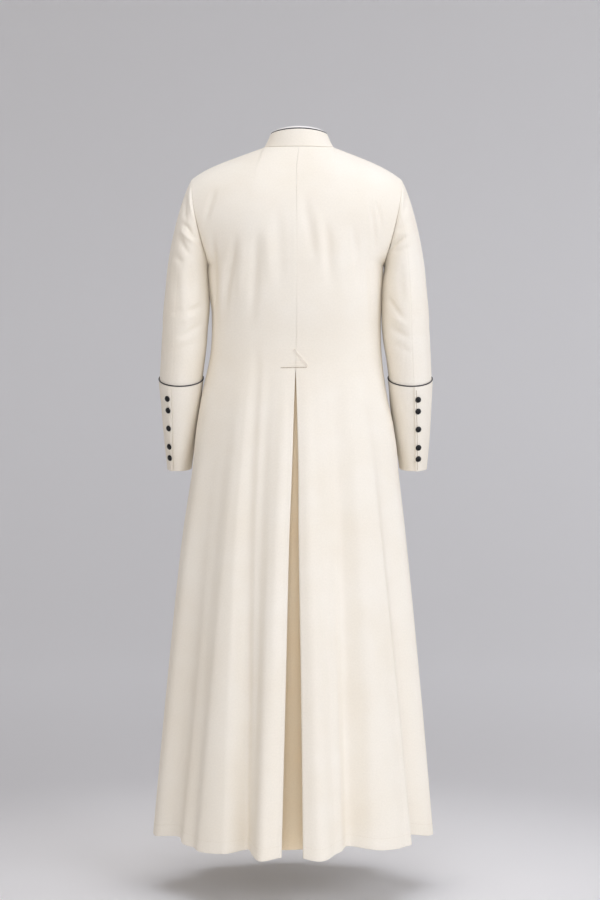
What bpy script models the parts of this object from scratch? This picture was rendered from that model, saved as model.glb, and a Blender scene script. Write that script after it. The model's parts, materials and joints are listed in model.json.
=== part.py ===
"""A worn cassock: its cloth panels, collar, cuffs, piping and buttons, as an empty hollow form.

Metres, +Z up. The origin is the middle of the neckline, between the side neck points. The front faces -Y
and the wearer's left is +X. The hem hangs at -HEM_DROP.
"""
import math

import bmesh
import bpy
from mathutils import Matrix, Vector

# Driving sizes
CLOTH = 0.002
SEAM_GAP = 0.0003
HEM_DROP = 1.43
NECK_HALF_WIDTH = 0.0735
NECK_BACK = 0.062
NECK_FRONT = 0.075
NECK_BACK_DROP = 0.006
NECK_FRONT_DROP = 0.065
NECK_DIP = 1.3
NECK_SWAY = -0.005
NECK_SWAY_REACH = 0.06

# Shoulder and armhole
SHOULDER_TIP = 0.2185
SHOULDER_SLOPE = 0.355
SHOULDER_ROLL = 0.012
SHOULDER_ROLL_CURVE = 5
ARMHOLE_TOP = -0.0668
ARMHOLE_BOTTOM = -0.245
ARMHOLE_LEAN = 0.0365
ARMHOLE_CURVE = 1.6
ARMHOLE_REACH = 6
RIDGE_FADE = 1.5
ARMHOLE_BACK = 0.075
ARMHOLE_FRONT = 0.070
CHEST_FLATNESS = 2.6
CHEST_ROUND_FROM = 0.35

# Collar
COLLAR_CLOTH = 0.003
COLLAR_TOP_HALF_WIDTH = 0.0595
COLLAR_TOP_BACK = 0.055
COLLAR_TOP_FRONT = 0.064
COLLAR_SIDE_Z = 0.028
COLLAR_BACK_RISE = 0.004
COLLAR_FRONT_FALL = 0.046
COLLAR_FALL_CURVE = 1.5
COLLAR_LEAN_CURVE = 0.8
COLLAR_ROWS = (1.0, 0.66, 0.33, 0.0)
COLLAR_END_GAP = 0.0012
INSERT_CLOTH = 0.0012
INSERT_ABOVE = 0.0065
INSERT_BELOW = 0.018
PIPING_RADIUS = 0.0011

# Inverted pleat at the centre back
TACK_Z = -0.46
SEAM_TURNING = 0.010
PLEAT_MOUTH = 0.0205
PLEAT_MOUTH_GROWTH = 0.8
PLEAT_INNER = 0.050
PLEAT_DEPTH = 0.090
PLEAT_START = 0.05
UNDERLAY_COLUMNS = 4

# Front closing
OVERLAP = 0.020
OVERLAP_STEP = 0.0026
OVERLAP_EASE = 0.030

# Buttons
BUTTON_RADIUS = 0.0064
BUTTON_HEIGHT = 0.0048
BUTTON_SEAT = 0.0004
BUTTON_SIDES = 8
BUTTON_PROFILE = [(0.0, 0.0), (0.55, 0.0), (1.0, 0.30), (0.93, 0.62), (0.60, 0.90), (0.0, 1.0)]
FRONT_BUTTONS = 28
FRONT_BUTTON_TOP = -0.088
FRONT_BUTTON_END = -1.335
CUFF_BUTTON_DROPS = (0.0255, 0.0495, 0.0865, 0.1245, 0.148)

# Net of each panel
YOKE_ROWS = 11
SKIRT_ROWS = 15
PANEL_COLUMNS = 14
NECK_COLUMNS = 5
NECK_SHARE = NECK_COLUMNS / PANEL_COLUMNS
CAP_ROWS = 7
WAIST_CROWDING = 0.28
MITRE_LIMIT = 0.3

# Points inside the body, in front of the pleat's underlay and inside the left sleeve
BODY_MIDDLE = Vector((0.0, 0.0, -0.7))
UNDERLAY_FRONT = Vector((0.0, 0.0, -0.9))
SLEEVE_MIDDLE = Vector((0.235, 0.0, -0.38))

# Level sections of the body, from the underarm to the hem
SECTIONS = [
    dict(z=-0.245, half_width=0.1820, back=0.132, front=0.135, squareness=2.30, sway=0.0000),
    dict(z=-0.330, half_width=0.1775, back=0.122, front=0.138, squareness=2.30, sway=0.0000),
    dict(z=-0.400, half_width=0.1768, back=0.108, front=0.134, squareness=2.25, sway=0.0005),
    dict(z=-0.460, half_width=0.1820, back=0.104, front=0.132, squareness=2.20, sway=0.0015),
    dict(z=-0.550, half_width=0.1960, back=0.117, front=0.140, squareness=2.10, sway=0.0020),
    dict(z=-0.670, half_width=0.2135, back=0.137, front=0.155, squareness=2.00, sway=0.0025),
    dict(z=-0.820, half_width=0.2330, back=0.160, front=0.174, squareness=1.90, sway=0.0050),
    dict(z=-1.110, half_width=0.2612, back=0.204, front=0.211, squareness=1.80, sway=0.0060),
    dict(z=-1.430, half_width=0.2880, back=0.252, front=0.250, squareness=1.75, sway=0.0080),
]

# Centre lines above the underarm, from the neckline down
CENTRE_BACK = [
    dict(z=-0.006, y=0.062),
    dict(z=-0.035, y=0.083),
    dict(z=-0.075, y=0.105),
    dict(z=-0.125, y=0.123),
    dict(z=-0.185, y=0.132),
    dict(z=-0.245, y=0.132),
]
CENTRE_FRONT = [
    dict(z=-0.065, y=0.075),
    dict(z=-0.090, y=0.094),
    dict(z=-0.130, y=0.115),
    dict(z=-0.180, y=0.130),
    dict(z=-0.245, y=0.135),
]

# Folds of the skirt. Angles run from the centre back, positive to the wearer's left. A ridge stands out
# and a trough goes in, by the depth at the hem.
FOLDS = [
    dict(at_waist=12, at_hem=13, half_angle=9, depth=0.016, start=-0.46),
    dict(at_waist=28, at_hem=23, half_angle=9, depth=-0.016, start=-0.43),
    dict(at_waist=45, at_hem=42, half_angle=15, depth=0.007, start=-0.46),
    dict(at_waist=63, at_hem=70, half_angle=15, depth=-0.026, start=-0.40),
    dict(at_waist=86, at_hem=93, half_angle=17, depth=0.004, start=-0.50),
    dict(at_waist=108, at_hem=113, half_angle=14, depth=-0.018, start=-0.50),
    dict(at_waist=128, at_hem=134, half_angle=14, depth=0.010, start=-0.55),
    dict(at_waist=148, at_hem=154, half_angle=11, depth=-0.011, start=-0.62),
    dict(at_waist=-10, at_hem=-12, half_angle=10, depth=0.017, start=-0.46),
    dict(at_waist=-34, at_hem=-31, half_angle=15, depth=-0.026, start=-0.48),
    dict(at_waist=-54, at_hem=-54, half_angle=12, depth=0.005, start=-0.46),
    dict(at_waist=-67, at_hem=-73, half_angle=11, depth=-0.030, start=-0.44),
    dict(at_waist=-88, at_hem=-97, half_angle=16, depth=0.004, start=-0.50),
    dict(at_waist=-112, at_hem=-118, half_angle=13, depth=-0.020, start=-0.52),
    dict(at_waist=-133, at_hem=-137, half_angle=13, depth=0.011, start=-0.58),
    dict(at_waist=-153, at_hem=-156, half_angle=10, depth=-0.009, start=-0.66),
]
FOLD_GROWTH = 0.9
HEM_DIP = 0.30

# Sections of the sleeve under its cap; the cuff lies outside the last ones. Each has its height, the middle
# and half width of the left arm and of the right arm, its middle and half depth from front to back, and how
# far it tilts and twists, in degrees.
SLEEVE_COLUMNS = ("z", "x", "half", "x_right", "half_right", "y", "deep", "tilt", "twist")
SLEEVE_TABLE = [
    (-0.2850, 0.2292, 0.0431, 0.2254, 0.0452, 0.004, 0.0730, 0, 0),
    (-0.3400, 0.2310, 0.0466, 0.2283, 0.0473, 0.006, 0.0710, 3, 0),
    (-0.4000, 0.2337, 0.0472, 0.2305, 0.0480, 0.004, 0.0670, 8, 1),
    (-0.4400, 0.2372, 0.0462, 0.2342, 0.0466, -0.001, 0.0640, 13, 2),
    (-0.4826, 0.2414, 0.0446, 0.2380, 0.0446, -0.008, 0.0620, 17, 3),
    (-0.5300, 0.2427, 0.0395, 0.2408, 0.0405, -0.020, 0.0600, 16, 4),
    (-0.6000, 0.2458, 0.0318, 0.2446, 0.0341, -0.040, 0.0575, 11, 5),
    (-0.6660, 0.2482, 0.0238, 0.2470, 0.0272, -0.059, 0.0550, 5, 6),
    (-0.6700, 0.2484, 0.0234, 0.2472, 0.0267, -0.060, 0.0550, 5, 6),
]
SLEEVE_SECTIONS = [dict(zip(SLEEVE_COLUMNS, row)) for row in SLEEVE_TABLE]
CUFF_FIRST = 4

# How the sleeve's cap leaves the armhole: the clear step off it, then the slope it starts with, at the
# shoulder and at the underarm, and the slope it ends with, as shares of its own length
ARMHOLE_CLEAR = Vector((0.00049, 0.0, -0.0001))
CAP_TOP_SLOPE = (0.63, -0.63)
CAP_UNDER_SLOPE = (0.315, -0.765)
CAP_SIDE_SLOPE = 0.225
CAP_END_SLOPE = (0.06, -1.0)
CAP_SPACING = 1.1

# Places round the sleeve, in the armhole's own steps from the sleeve's outer side towards the back
SLEEVE_STEPS = 2 * YOKE_ROWS
BUTTON_LINE = 3
HINDARM_SEAM = 4
FOREARM_SEAM = 14
RIGHT_ARM_TURN = 1

# Colours and finishes: name, sRGB colour, roughness
FINISHES = {
    "wool cloth": ((0.945, 0.915, 0.865), 0.85),
    "pleat cloth": ((0.900, 0.855, 0.785), 0.85),
    "white band": ((0.960, 0.960, 0.965), 0.60),
    "piping": ((0.070, 0.070, 0.090), 0.55),
    "satin button": ((0.035, 0.032, 0.036), 0.35),
}


def smooth(t):
    """Ease from 0 to 1."""
    t = min(max(t, 0.0), 1.0)
    return t * t * (3.0 - 2.0 * t)


def read(table, column, z):
    """Value of a column at height z, on a smooth curve through the table's rows, top to bottom."""
    heights = [row["z"] for row in table]
    values = [row[column] for row in table]
    if z >= heights[0]:
        return values[0]
    if z <= heights[-1]:
        return values[-1]
    at = next(i for i in range(len(heights) - 1) if z >= heights[i + 1])
    slopes = []
    for i in (at, at + 1):
        low = max(i - 1, 0)
        high = min(i + 1, len(heights) - 1)
        slopes.append((values[high] - values[low]) / (heights[high] - heights[low]))
    step = heights[at + 1] - heights[at]
    t = (z - heights[at]) / step
    start = values[at] * (1 + 2 * t) * (1 - t) ** 2 + slopes[0] * step * t * (1 - t) ** 2
    end = values[at + 1] * t * t * (3 - 2 * t) + slopes[1] * step * t * t * (t - 1)
    return start + end


def sway(z):
    """How far the middle of the garment stands off the centre plane at height z."""
    neck = NECK_SWAY * smooth(1.0 + z / NECK_SWAY_REACH)
    return neck + read(SECTIONS, "sway", z)


def growth(z, start):
    """How much of a fold's hem depth it has at height z."""
    share = (start - z) / (start + HEM_DROP)
    return max(share, 0.0) ** FOLD_GROWTH


def fold_depth(angle, z):
    """Sum of the ridges and troughs at an angle from the centre back, in metres."""
    total = 0.0
    for fold in FOLDS:
        share = growth(z, fold["start"])
        along = min(share, 1.0)
        middle = fold["at_waist"] * (1 - along) + fold["at_hem"] * along
        off = (angle - middle + 180.0) % 360.0 - 180.0
        if abs(off) < fold["half_angle"]:
            total += share * fold["depth"] * 0.5 * (1 + math.cos(math.pi * off / fold["half_angle"]))
    return total


def pleat_share(z):
    """0 at the tack, 1 at the hem."""
    return min(max((TACK_Z - z) / (TACK_Z + HEM_DROP), 0.0), 1.0)


def mouth(z):
    """Half of the gap between the pleat's two folded edges."""
    return PLEAT_MOUTH * pleat_share(z) ** PLEAT_MOUTH_GROWTH


def armhole(theta, depth):
    """Point of the left armhole, from its top (0) down one side to its bottom (pi)."""
    share = (1 - math.cos(theta)) / 2
    x = SHOULDER_TIP - ARMHOLE_LEAN * share ** ARMHOLE_CURVE
    z = ARMHOLE_TOP + (ARMHOLE_BOTTOM - ARMHOLE_TOP) * share
    return Vector((x, depth * math.sin(theta), z))


def top_edge(v, back):
    """Neckline and shoulder seam of one left panel, as x, outward depth and z. v runs 0 to 1."""
    if v <= NECK_SHARE:
        turn = 0.5 * math.pi * v / NECK_SHARE
        depth = NECK_BACK if back else NECK_FRONT
        drop = NECK_BACK_DROP if back else NECK_FRONT_DROP
        return NECK_HALF_WIDTH * math.sin(turn), depth * math.cos(turn), -drop * math.cos(turn) ** NECK_DIP
    along = (v - NECK_SHARE) / (1 - NECK_SHARE)
    x = NECK_HALF_WIDTH + (SHOULDER_TIP - NECK_HALF_WIDTH) * along
    run = x - NECK_HALF_WIDTH
    whole = SHOULDER_TIP - NECK_HALF_WIDTH
    end_drop = SHOULDER_SLOPE * whole + SHOULDER_ROLL
    fit = -ARMHOLE_TOP / end_drop
    return x, 0.0, -fit * (SHOULDER_SLOPE * run + SHOULDER_ROLL * (run / whole) ** SHOULDER_ROLL_CURVE)


def yoke_point(row, v, back):
    """Point of a left panel above the underarm, as x, outward depth and z."""
    theta = math.pi * row / YOKE_ROWS
    share = (1 - math.cos(theta)) / 2
    square = SECTIONS[0]["squareness"]
    top_x, top_y, top_z = top_edge(v, back)
    low_u = math.sin(0.5 * math.pi * v) ** (2 / square)
    top_u = top_x / SHOULDER_TIP
    u = top_u * (1 - share) + low_u * share
    bow = 1.0
    if theta > 0.5 * math.pi:
        off_edge = 1 - u ** ARMHOLE_REACH
        share += (theta / math.pi - share) * off_edge
        bow += off_edge
    depth = ARMHOLE_BACK if back else ARMHOLE_FRONT
    arm_y = depth * max(math.sin(theta), 0.0) ** bow
    arm_x = SHOULDER_TIP - ARMHOLE_LEAN * share ** ARMHOLE_CURVE
    arm_z = ARMHOLE_TOP + (ARMHOLE_BOTTOM - ARMHOLE_TOP) * share
    centre_line = CENTRE_BACK if back else CENTRE_FRONT
    first_z = centre_line[0]["z"]
    centre_z = first_z + (ARMHOLE_BOTTOM - first_z) * share
    centre_y = read(centre_line, "y", centre_z)
    flat = 1 - u ** CHEST_FLATNESS
    full = max(1 - u ** square, 0.0) ** (1 / square)
    ease = smooth((share - CHEST_ROUND_FROM) / (1 - CHEST_ROUND_FROM))
    y = arm_y + (centre_y - arm_y) * (flat * (1 - ease) + full * ease)
    z = arm_z + (centre_z - arm_z) * (1 - u)
    first_y = centre_line[0]["y"] * (1 - top_u ** CHEST_FLATNESS)
    line_z = ARMHOLE_TOP + (first_z - ARMHOLE_TOP) * (1 - top_u)
    y += (top_y - first_y) * (1 - math.sin(min(theta, 0.5 * math.pi))) ** RIDGE_FADE
    z += (top_z - line_z) * (1 - share)
    return arm_x * u, y, z


def skirt_point(z, v, back, inset):
    """Point of a left panel under the underarm, as x, outward depth and its angle in degrees."""
    width = read(SECTIONS, "half_width", z)
    depth = read(SECTIONS, "back" if back else "front", z)
    square = read(SECTIONS, "squareness", z)
    first = math.asin((inset / width) ** (square / 2))
    turn = first + (0.5 * math.pi - first) * v
    x = width * math.sin(turn) ** (2 / square)
    y = depth * max(math.cos(turn), 0.0) ** (2 / square)
    return x, y, math.degrees(math.atan2(x, y))


def row_heights():
    """Heights of the rows under the underarm, closer together round the waist."""
    heights = []
    for i in range(1, SKIRT_ROWS + 1):
        t = i / SKIRT_ROWS
        share = (1 - WAIST_CROWDING) * t + WAIST_CROWDING * t * t
        heights.append(ARMHOLE_BOTTOM + (-HEM_DROP - ARMHOLE_BOTTOM) * share)
    return heights


def place(x, y, z, side, back, angle=0.0):
    """Put a left panel's point on its own side, with the folds and the sway of the garment."""
    out = Vector((side * x, y if back else -y, z))
    if z < ARMHOLE_BOTTOM:
        whole = angle if back else 180.0 - angle
        depth = fold_depth(side * whole, z)
        away = Vector((out.x, out.y, 0.0)).normalized()
        out += away * depth
        out.z -= HEM_DIP * depth * growth(z, TACK_Z)
    out.x += sway(z)
    return out


def panel_net(side, back):
    """Rows of points of one panel, from its centre line to its side seam."""
    shares = [i / PANEL_COLUMNS for i in range(PANEL_COLUMNS + 1)]
    net = []
    for row in range(YOKE_ROWS + 1):
        line = []
        for v in shares:
            x, y, z = yoke_point(row, v, back)
            line.append(place(x, y, z, side, back))
        net.append(line)
    for z in row_heights():
        line = []
        for v in shares:
            inset = mouth(z) if back else 0.0
            x, y, angle = skirt_point(z, v, back, inset)
            line.append(place(x, y, z, side, back, angle))
        net.append(line)
    return net


def back_net(side):
    """A back panel with its turned-in centre edge: seam allowance above the tack, pleat side below it."""
    net = panel_net(side, True)
    turned = []
    for line in net:
        edge = line[0]
        middle_x = edge.x - side * mouth(edge.z)
        edge.x += side * SEAM_GAP / 2
        share = pleat_share(edge.z)
        deep = SEAM_TURNING + (PLEAT_DEPTH - SEAM_TURNING) * share
        inner = PLEAT_INNER * share
        end = Vector((middle_x + side * (inner + SEAM_GAP / 2), edge.y - deep, edge.z))
        turned.append([end, edge.lerp(end, 0.5)] + line)
    return turned


def front_net(side):
    """A front panel that passes the centre front by the overlap, where it keeps on along its own curve."""
    net = []
    for line in panel_net(side, False):
        middle, next_place = line[0], line[1]
        beyond = []
        for reach in (OVERLAP, 0.5 * OVERLAP):
            bend = (reach / abs(next_place.x - middle.x)) ** 2
            point = middle.lerp(next_place, bend)
            point.x = middle.x - side * reach
            beyond.append(point)
        net.append(beyond + line)
    return net


def key(point):
    return round(point.x, 6), round(point.y, 6), round(point.z, 6)


def shared_normals(nets):
    """One outward direction, with its length for an even wall, at each place where the nets' faces meet."""
    around = {}
    for net in nets:
        for upper, lower in zip(net, net[1:]):
            for a, b, c, d in zip(upper, upper[1:], lower[1:], lower):
                normal = (c - a).cross(d - b).normalized()
                for point in (a, b, c, d):
                    around.setdefault(key(point), []).append(normal)
    normals = {}
    for place_key, faces in around.items():
        mean = sum(faces, Vector()).normalized()
        fit = sum(mean.dot(face) for face in faces) / len(faces)
        normals[place_key] = mean / max(fit, MITRE_LIMIT)
    return normals


def outward(net, hub):
    """Reverse the columns of a net whose faces look towards the hub, a point inside it."""
    row = (len(net) - 1) // 2
    column = (len(net[0]) - 1) // 2
    a, b = net[row][column], net[row][column + 1]
    c, d = net[row + 1][column + 1], net[row + 1][column]
    if (c - a).cross(d - b).dot(a - hub) < 0:
        return [list(reversed(line)) for line in net]
    return net


def pulled_in(net, gap):
    """Draw the four edges of a net back along its own surface, to leave the gap at the seams."""
    moved = [[point.copy() for point in line] for line in net]
    for row, line in enumerate(net):
        for column, inner in ((0, 1), (len(line) - 1, len(line) - 2)):
            moved[row][column] += (line[inner] - line[column]).normalized() * gap
    for column in range(len(net[0])):
        for row, inner in ((0, 1), (len(net) - 1, len(net) - 2)):
            moved[row][column] += (net[inner][column] - net[row][column]).normalized() * gap
    return moved


def wall(name, finish, net, normals, thickness, lift=0.0, sink=None, gap=SEAM_GAP / 2):
    """A closed cloth wall: the net moved out by the lift, and its inner side one thickness under it."""
    outer = []
    inner = []
    for line in net:
        depths = [sink(point) if sink else 0.0 for point in line]
        outer.append([p + normals[key(p)] * (lift - s) for p, s in zip(line, depths)])
        inner.append([p + normals[key(p)] * (lift - s - thickness) for p, s in zip(line, depths)])
    outer = pulled_in(outer, gap)
    inner = pulled_in(inner, gap)
    rows = len(net)
    columns = len(net[0])
    points = [p for line in outer for p in line] + [p for line in inner for p in line]
    under = rows * columns
    faces = []
    for row in range(rows - 1):
        for column in range(columns - 1):
            a = row * columns + column
            for corners in ((a, a + columns + 1, a + 1), (a, a + columns, a + columns + 1)):
                faces.append(corners[::-1])
                faces.append(tuple(under + i for i in corners))
    rim = list(range(columns))
    rim += [row * columns + columns - 1 for row in range(1, rows)]
    rim += [(rows - 1) * columns + column for column in range(columns - 2, -1, -1)]
    rim += [row * columns for row in range(rows - 2, 0, -1)]
    for a, b in zip(rim, rim[1:] + rim[:1]):
        faces.append((a, b, under + b, under + a))
    return solid(name, finish, points, faces)


def solid(name, finish, points, faces):
    """A mesh object with its finish, in the garment's collection, with its faces pointing out."""
    mesh = bpy.data.meshes.new(name)
    mesh.from_pydata([tuple(p) for p in points], [], faces)
    shell = bmesh.new()
    shell.from_mesh(mesh)
    bmesh.ops.recalc_face_normals(shell, faces=shell.faces)
    shell.to_mesh(mesh)
    shell.free()
    mesh.materials.append(material(finish))
    mesh.shade_smooth()
    made = bpy.data.objects.new(name, mesh)
    garment().objects.link(made)
    return made


def material(finish):
    """The Principled material of a finish, made once."""
    if finish in bpy.data.materials:
        return bpy.data.materials[finish]
    colour, roughness = FINISHES[finish]
    linear = [((c + 0.055) / 1.055) ** 2.4 if c > 0.04045 else c / 12.92 for c in colour]
    made = bpy.data.materials.new(finish)
    made.use_nodes = True
    shader = made.node_tree.nodes["Principled BSDF"]
    shader.inputs["Base Color"].default_value = (*linear, 1.0)
    shader.inputs["Roughness"].default_value = roughness
    shader.inputs["Metallic"].default_value = 0.0
    return made


def garment():
    """The collection that holds the pieces."""
    if "cassock" not in bpy.data.collections:
        made = bpy.data.collections.new("cassock")
        bpy.context.scene.collection.children.link(made)
    return bpy.data.collections["cassock"]


def cord(name, path, radius):
    """A closed round cord through the points of its path."""
    curve = bpy.data.curves.new(name, "CURVE")
    curve.dimensions = "3D"
    curve.bevel_depth = radius
    curve.bevel_resolution = 1
    spline = curve.splines.new("POLY")
    spline.points.add(len(path) - 1)
    for place_on, point in zip(spline.points, path):
        place_on.co = (*point, 1.0)
    spline.use_cyclic_u = True
    curve.materials.append(material("piping"))
    made = bpy.data.objects.new(name, curve)
    garment().objects.link(made)
    return made


def button(name, seat, direction):
    """A domed button that stands on the cloth at its seat, turned from its profile."""
    points = [(BUTTON_RADIUS * share, 0.0, BUTTON_HEIGHT * up) for share, up in BUTTON_PROFILE]
    mesh = bpy.data.meshes.new(name)
    mesh.from_pydata(points, [(i, i + 1) for i in range(len(points) - 1)], [])
    mesh.materials.append(material("satin button"))
    made = bpy.data.objects.new(name, mesh)
    garment().objects.link(made)
    turned = made.modifiers.new("turned", "SCREW")
    turned.steps = BUTTON_SIDES
    turned.render_steps = BUTTON_SIDES
    turned.use_merge_vertices = True
    turned.use_normal_calculate = True
    turned.merge_threshold = 0.00001
    away = direction.normalized()
    turn = away.to_track_quat("Z", "Y").to_matrix().to_4x4()
    made.matrix_world = Matrix.Translation(seat + away * BUTTON_SEAT) @ turn


def on_column(net, normals, column, z):
    """Point and outward direction on a column of a net, at height z."""
    for upper, lower in zip(net, net[1:]):
        a, b = upper[column], lower[column]
        if a.z >= z >= b.z:
            t = (a.z - z) / (a.z - b.z)
            return a.lerp(b, t), normals[key(a)].lerp(normals[key(b)], t)
    raise ValueError("no such height on this net")


def body():
    """The two backs, the two fronts, the pleat's underlay and the front's buttons."""
    backs = {side: outward(back_net(side), BODY_MIDDLE) for side in (1, -1)}
    fronts = {side: outward(front_net(side), BODY_MIDDLE) for side in (1, -1)}
    main = list(backs.values()) + list(fronts.values())
    normals = shared_normals(main)
    wall("back_left", "wool cloth", backs[1], normals, CLOTH)
    wall("back_right", "wool cloth", backs[-1], normals, CLOTH)
    wall("front_left", "wool cloth", fronts[1], normals, CLOTH)

    def under_overlap(point):
        past = point.x - sway(point.z) + OVERLAP + OVERLAP_EASE
        return OVERLAP_STEP * smooth(past / OVERLAP_EASE)

    wall("front_right", "wool cloth", fronts[-1], normals, CLOTH, sink=under_overlap)
    underlay(backs)
    left = fronts[1]
    centre = next(i for i in range(len(left[0])) if abs(left[-1][i].x - sway(left[-1][i].z)) < 1e-4)
    for number in range(FRONT_BUTTONS):
        z = FRONT_BUTTON_TOP + (FRONT_BUTTON_END - FRONT_BUTTON_TOP) * number / (FRONT_BUTTONS - 1)
        seat, direction = on_column(left, normals, centre, z)
        button(f"front_button_{number + 1:02d}", seat, direction)


def underlay(backs):
    """The strip between the inner edges of the pleat's two sides."""
    net = []
    for left_line, right_line in zip(backs[1], backs[-1]):
        left_end, right_end = line_end(left_line), line_end(right_line)
        if left_end.z < TACK_Z - PLEAT_START:
            shares = [i / UNDERLAY_COLUMNS for i in range(UNDERLAY_COLUMNS + 1)]
            net.append([right_end.lerp(left_end, share) for share in shares])
    net = outward(net, UNDERLAY_FRONT)
    normals = shared_normals([net])
    wall("back_pleat", "pleat cloth", net, normals, CLOTH, lift=-SEAM_GAP)


def line_end(line):
    """The turned-in end of a back panel's row: the one of its two ends nearer the centre plane."""
    return min((line[0], line[-1]), key=lambda p: abs(p.x - sway(p.z)))


def ring_loop(angle, half, back, front):
    """Level place on an egg-shaped loop, from the centre back (0) round to the centre front (180)."""
    turn = math.radians(angle)
    return half * math.sin(turn), (back if math.cos(turn) > 0 else front) * math.cos(turn)


def collar_point(angle, share):
    """Point of the collar's outer side: share 0 at the neckline, 1 at its top edge."""
    turn = math.radians(angle)
    fore = max(-math.cos(turn), 0.0)
    aft = max(math.cos(turn), 0.0)
    low_x, low_y = ring_loop(angle, NECK_HALF_WIDTH, NECK_BACK, NECK_FRONT)
    high_x, high_y = ring_loop(angle, COLLAR_TOP_HALF_WIDTH, COLLAR_TOP_BACK, COLLAR_TOP_FRONT)
    low_z = -NECK_BACK_DROP * aft ** NECK_DIP - NECK_FRONT_DROP * fore ** NECK_DIP
    high_z = COLLAR_SIDE_Z + COLLAR_BACK_RISE * aft ** 2 - COLLAR_FRONT_FALL * fore ** COLLAR_FALL_CURVE
    lean = share ** COLLAR_LEAN_CURVE
    z = low_z + (high_z - low_z) * share
    x = low_x + (high_x - low_x) * lean
    return Vector((x + sway(z), low_y + (high_y - low_y) * lean, z))


def collar():
    """The standing collar, the cord on its top edge and the white band inside it."""
    end = math.degrees(0.5 * COLLAR_END_GAP / NECK_FRONT)
    step = 90 / NECK_COLUMNS
    angles = [-180 + end] + [step * i for i in range(1 - 2 * NECK_COLUMNS, 2 * NECK_COLUMNS)] + [180 - end]
    net = [[collar_point(a, s) for a in angles] for s in COLLAR_ROWS]
    net = outward(net, Vector())
    normals = shared_normals([net])
    lift = Vector((0.0, 0.0, SEAM_GAP))
    raised = [[p + lift for p in line] for line in net]
    raised_normals = shared_normals([raised])
    wall("collar", "wool cloth", raised, raised_normals, COLLAR_CLOTH, gap=SEAM_GAP)
    top = net[0]
    path = []
    for place_on, below in zip(top, net[1]):
        up = (place_on - below).normalized()
        inward = normals[key(place_on)] * (-0.5 * COLLAR_CLOTH)
        path.append(place_on + inward + up * (PIPING_RADIUS + SEAM_GAP))
    cord("collar_piping", path, PIPING_RADIUS)
    band = []
    for height in (INSERT_ABOVE, 0.0, -INSERT_BELOW):
        line = []
        for place_on, below in zip(top, net[1]):
            up = (place_on - below).normalized()
            inward = normals[key(place_on)] * (-COLLAR_CLOTH - 2 * SEAM_GAP)
            line.append(place_on + inward + up * height)
        band.append(line)
    wall("collar_insert", "white band", band, shared_normals([band]), INSERT_CLOTH)


def sleeve_ring(row, angle, side):
    """Point of a sleeve section at an angle from its outer side towards the back."""
    turn = math.radians(angle + row["twist"])
    right = side < 0
    centre_x = row["x_right"] if right else row["x"]
    half = row["half_right"] if right else row["half"]
    tilt = math.radians(row["tilt"])
    deep = row["deep"] * math.sin(turn)
    x = centre_x + half * math.cos(turn)
    return Vector((x, row["y"] + deep * math.cos(tilt), row["z"] - deep * math.sin(tilt)))


def cap_point(t, angle, side):
    """Point of the sleeve's cap: t runs from the armhole (0) to the first full section (1)."""
    turn = math.radians(angle)
    depth = ARMHOLE_BACK if math.sin(turn) > 0 else ARMHOLE_FRONT
    theta = math.acos(max(min(math.cos(turn), 1.0), -1.0))
    start = armhole(theta, depth)
    start.y = math.copysign(start.y, math.sin(turn))
    start += ARMHOLE_CLEAR
    end = sleeve_ring(SLEEVE_SECTIONS[0], angle, side)
    upper = 0.5 * (1 + math.cos(turn))
    reach = (end - start).length
    out, down = (u + (t - u) * upper for t, u in zip(CAP_TOP_SLOPE, CAP_UNDER_SLOPE))
    leave = Vector((out, CAP_SIDE_SLOPE * math.sin(turn), down)) * reach
    arrive = Vector((CAP_END_SLOPE[0], 0.0, CAP_END_SLOPE[1])) * reach
    h00 = (1 + 2 * t) * (1 - t) ** 2
    h10 = t * (1 - t) ** 2
    h01 = t * t * (3 - 2 * t)
    h11 = t * t * (t - 1)
    return start * h00 + leave * h10 + end * h01 + arrive * h11


def sleeve_net(side, first, last):
    """Rows of a sleeve from the armhole to its end, between two of the places round it."""
    turn = RIGHT_ARM_TURN if side < 0 else 0
    angles = [(step + turn) * 360.0 / SLEEVE_STEPS for step in range(first, last + 1)]
    net = []
    for row in range(CAP_ROWS):
        t = (row / CAP_ROWS) ** CAP_SPACING
        net.append([cap_point(t, a, side) for a in angles])
    for section in SLEEVE_SECTIONS:
        net.append([sleeve_ring(section, a, side) for a in angles])
    for line in net:
        for point in line:
            point.x *= side
    return outward(net, Vector((side * SLEEVE_MIDDLE.x, SLEEVE_MIDDLE.y, SLEEVE_MIDDLE.z)))


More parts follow.
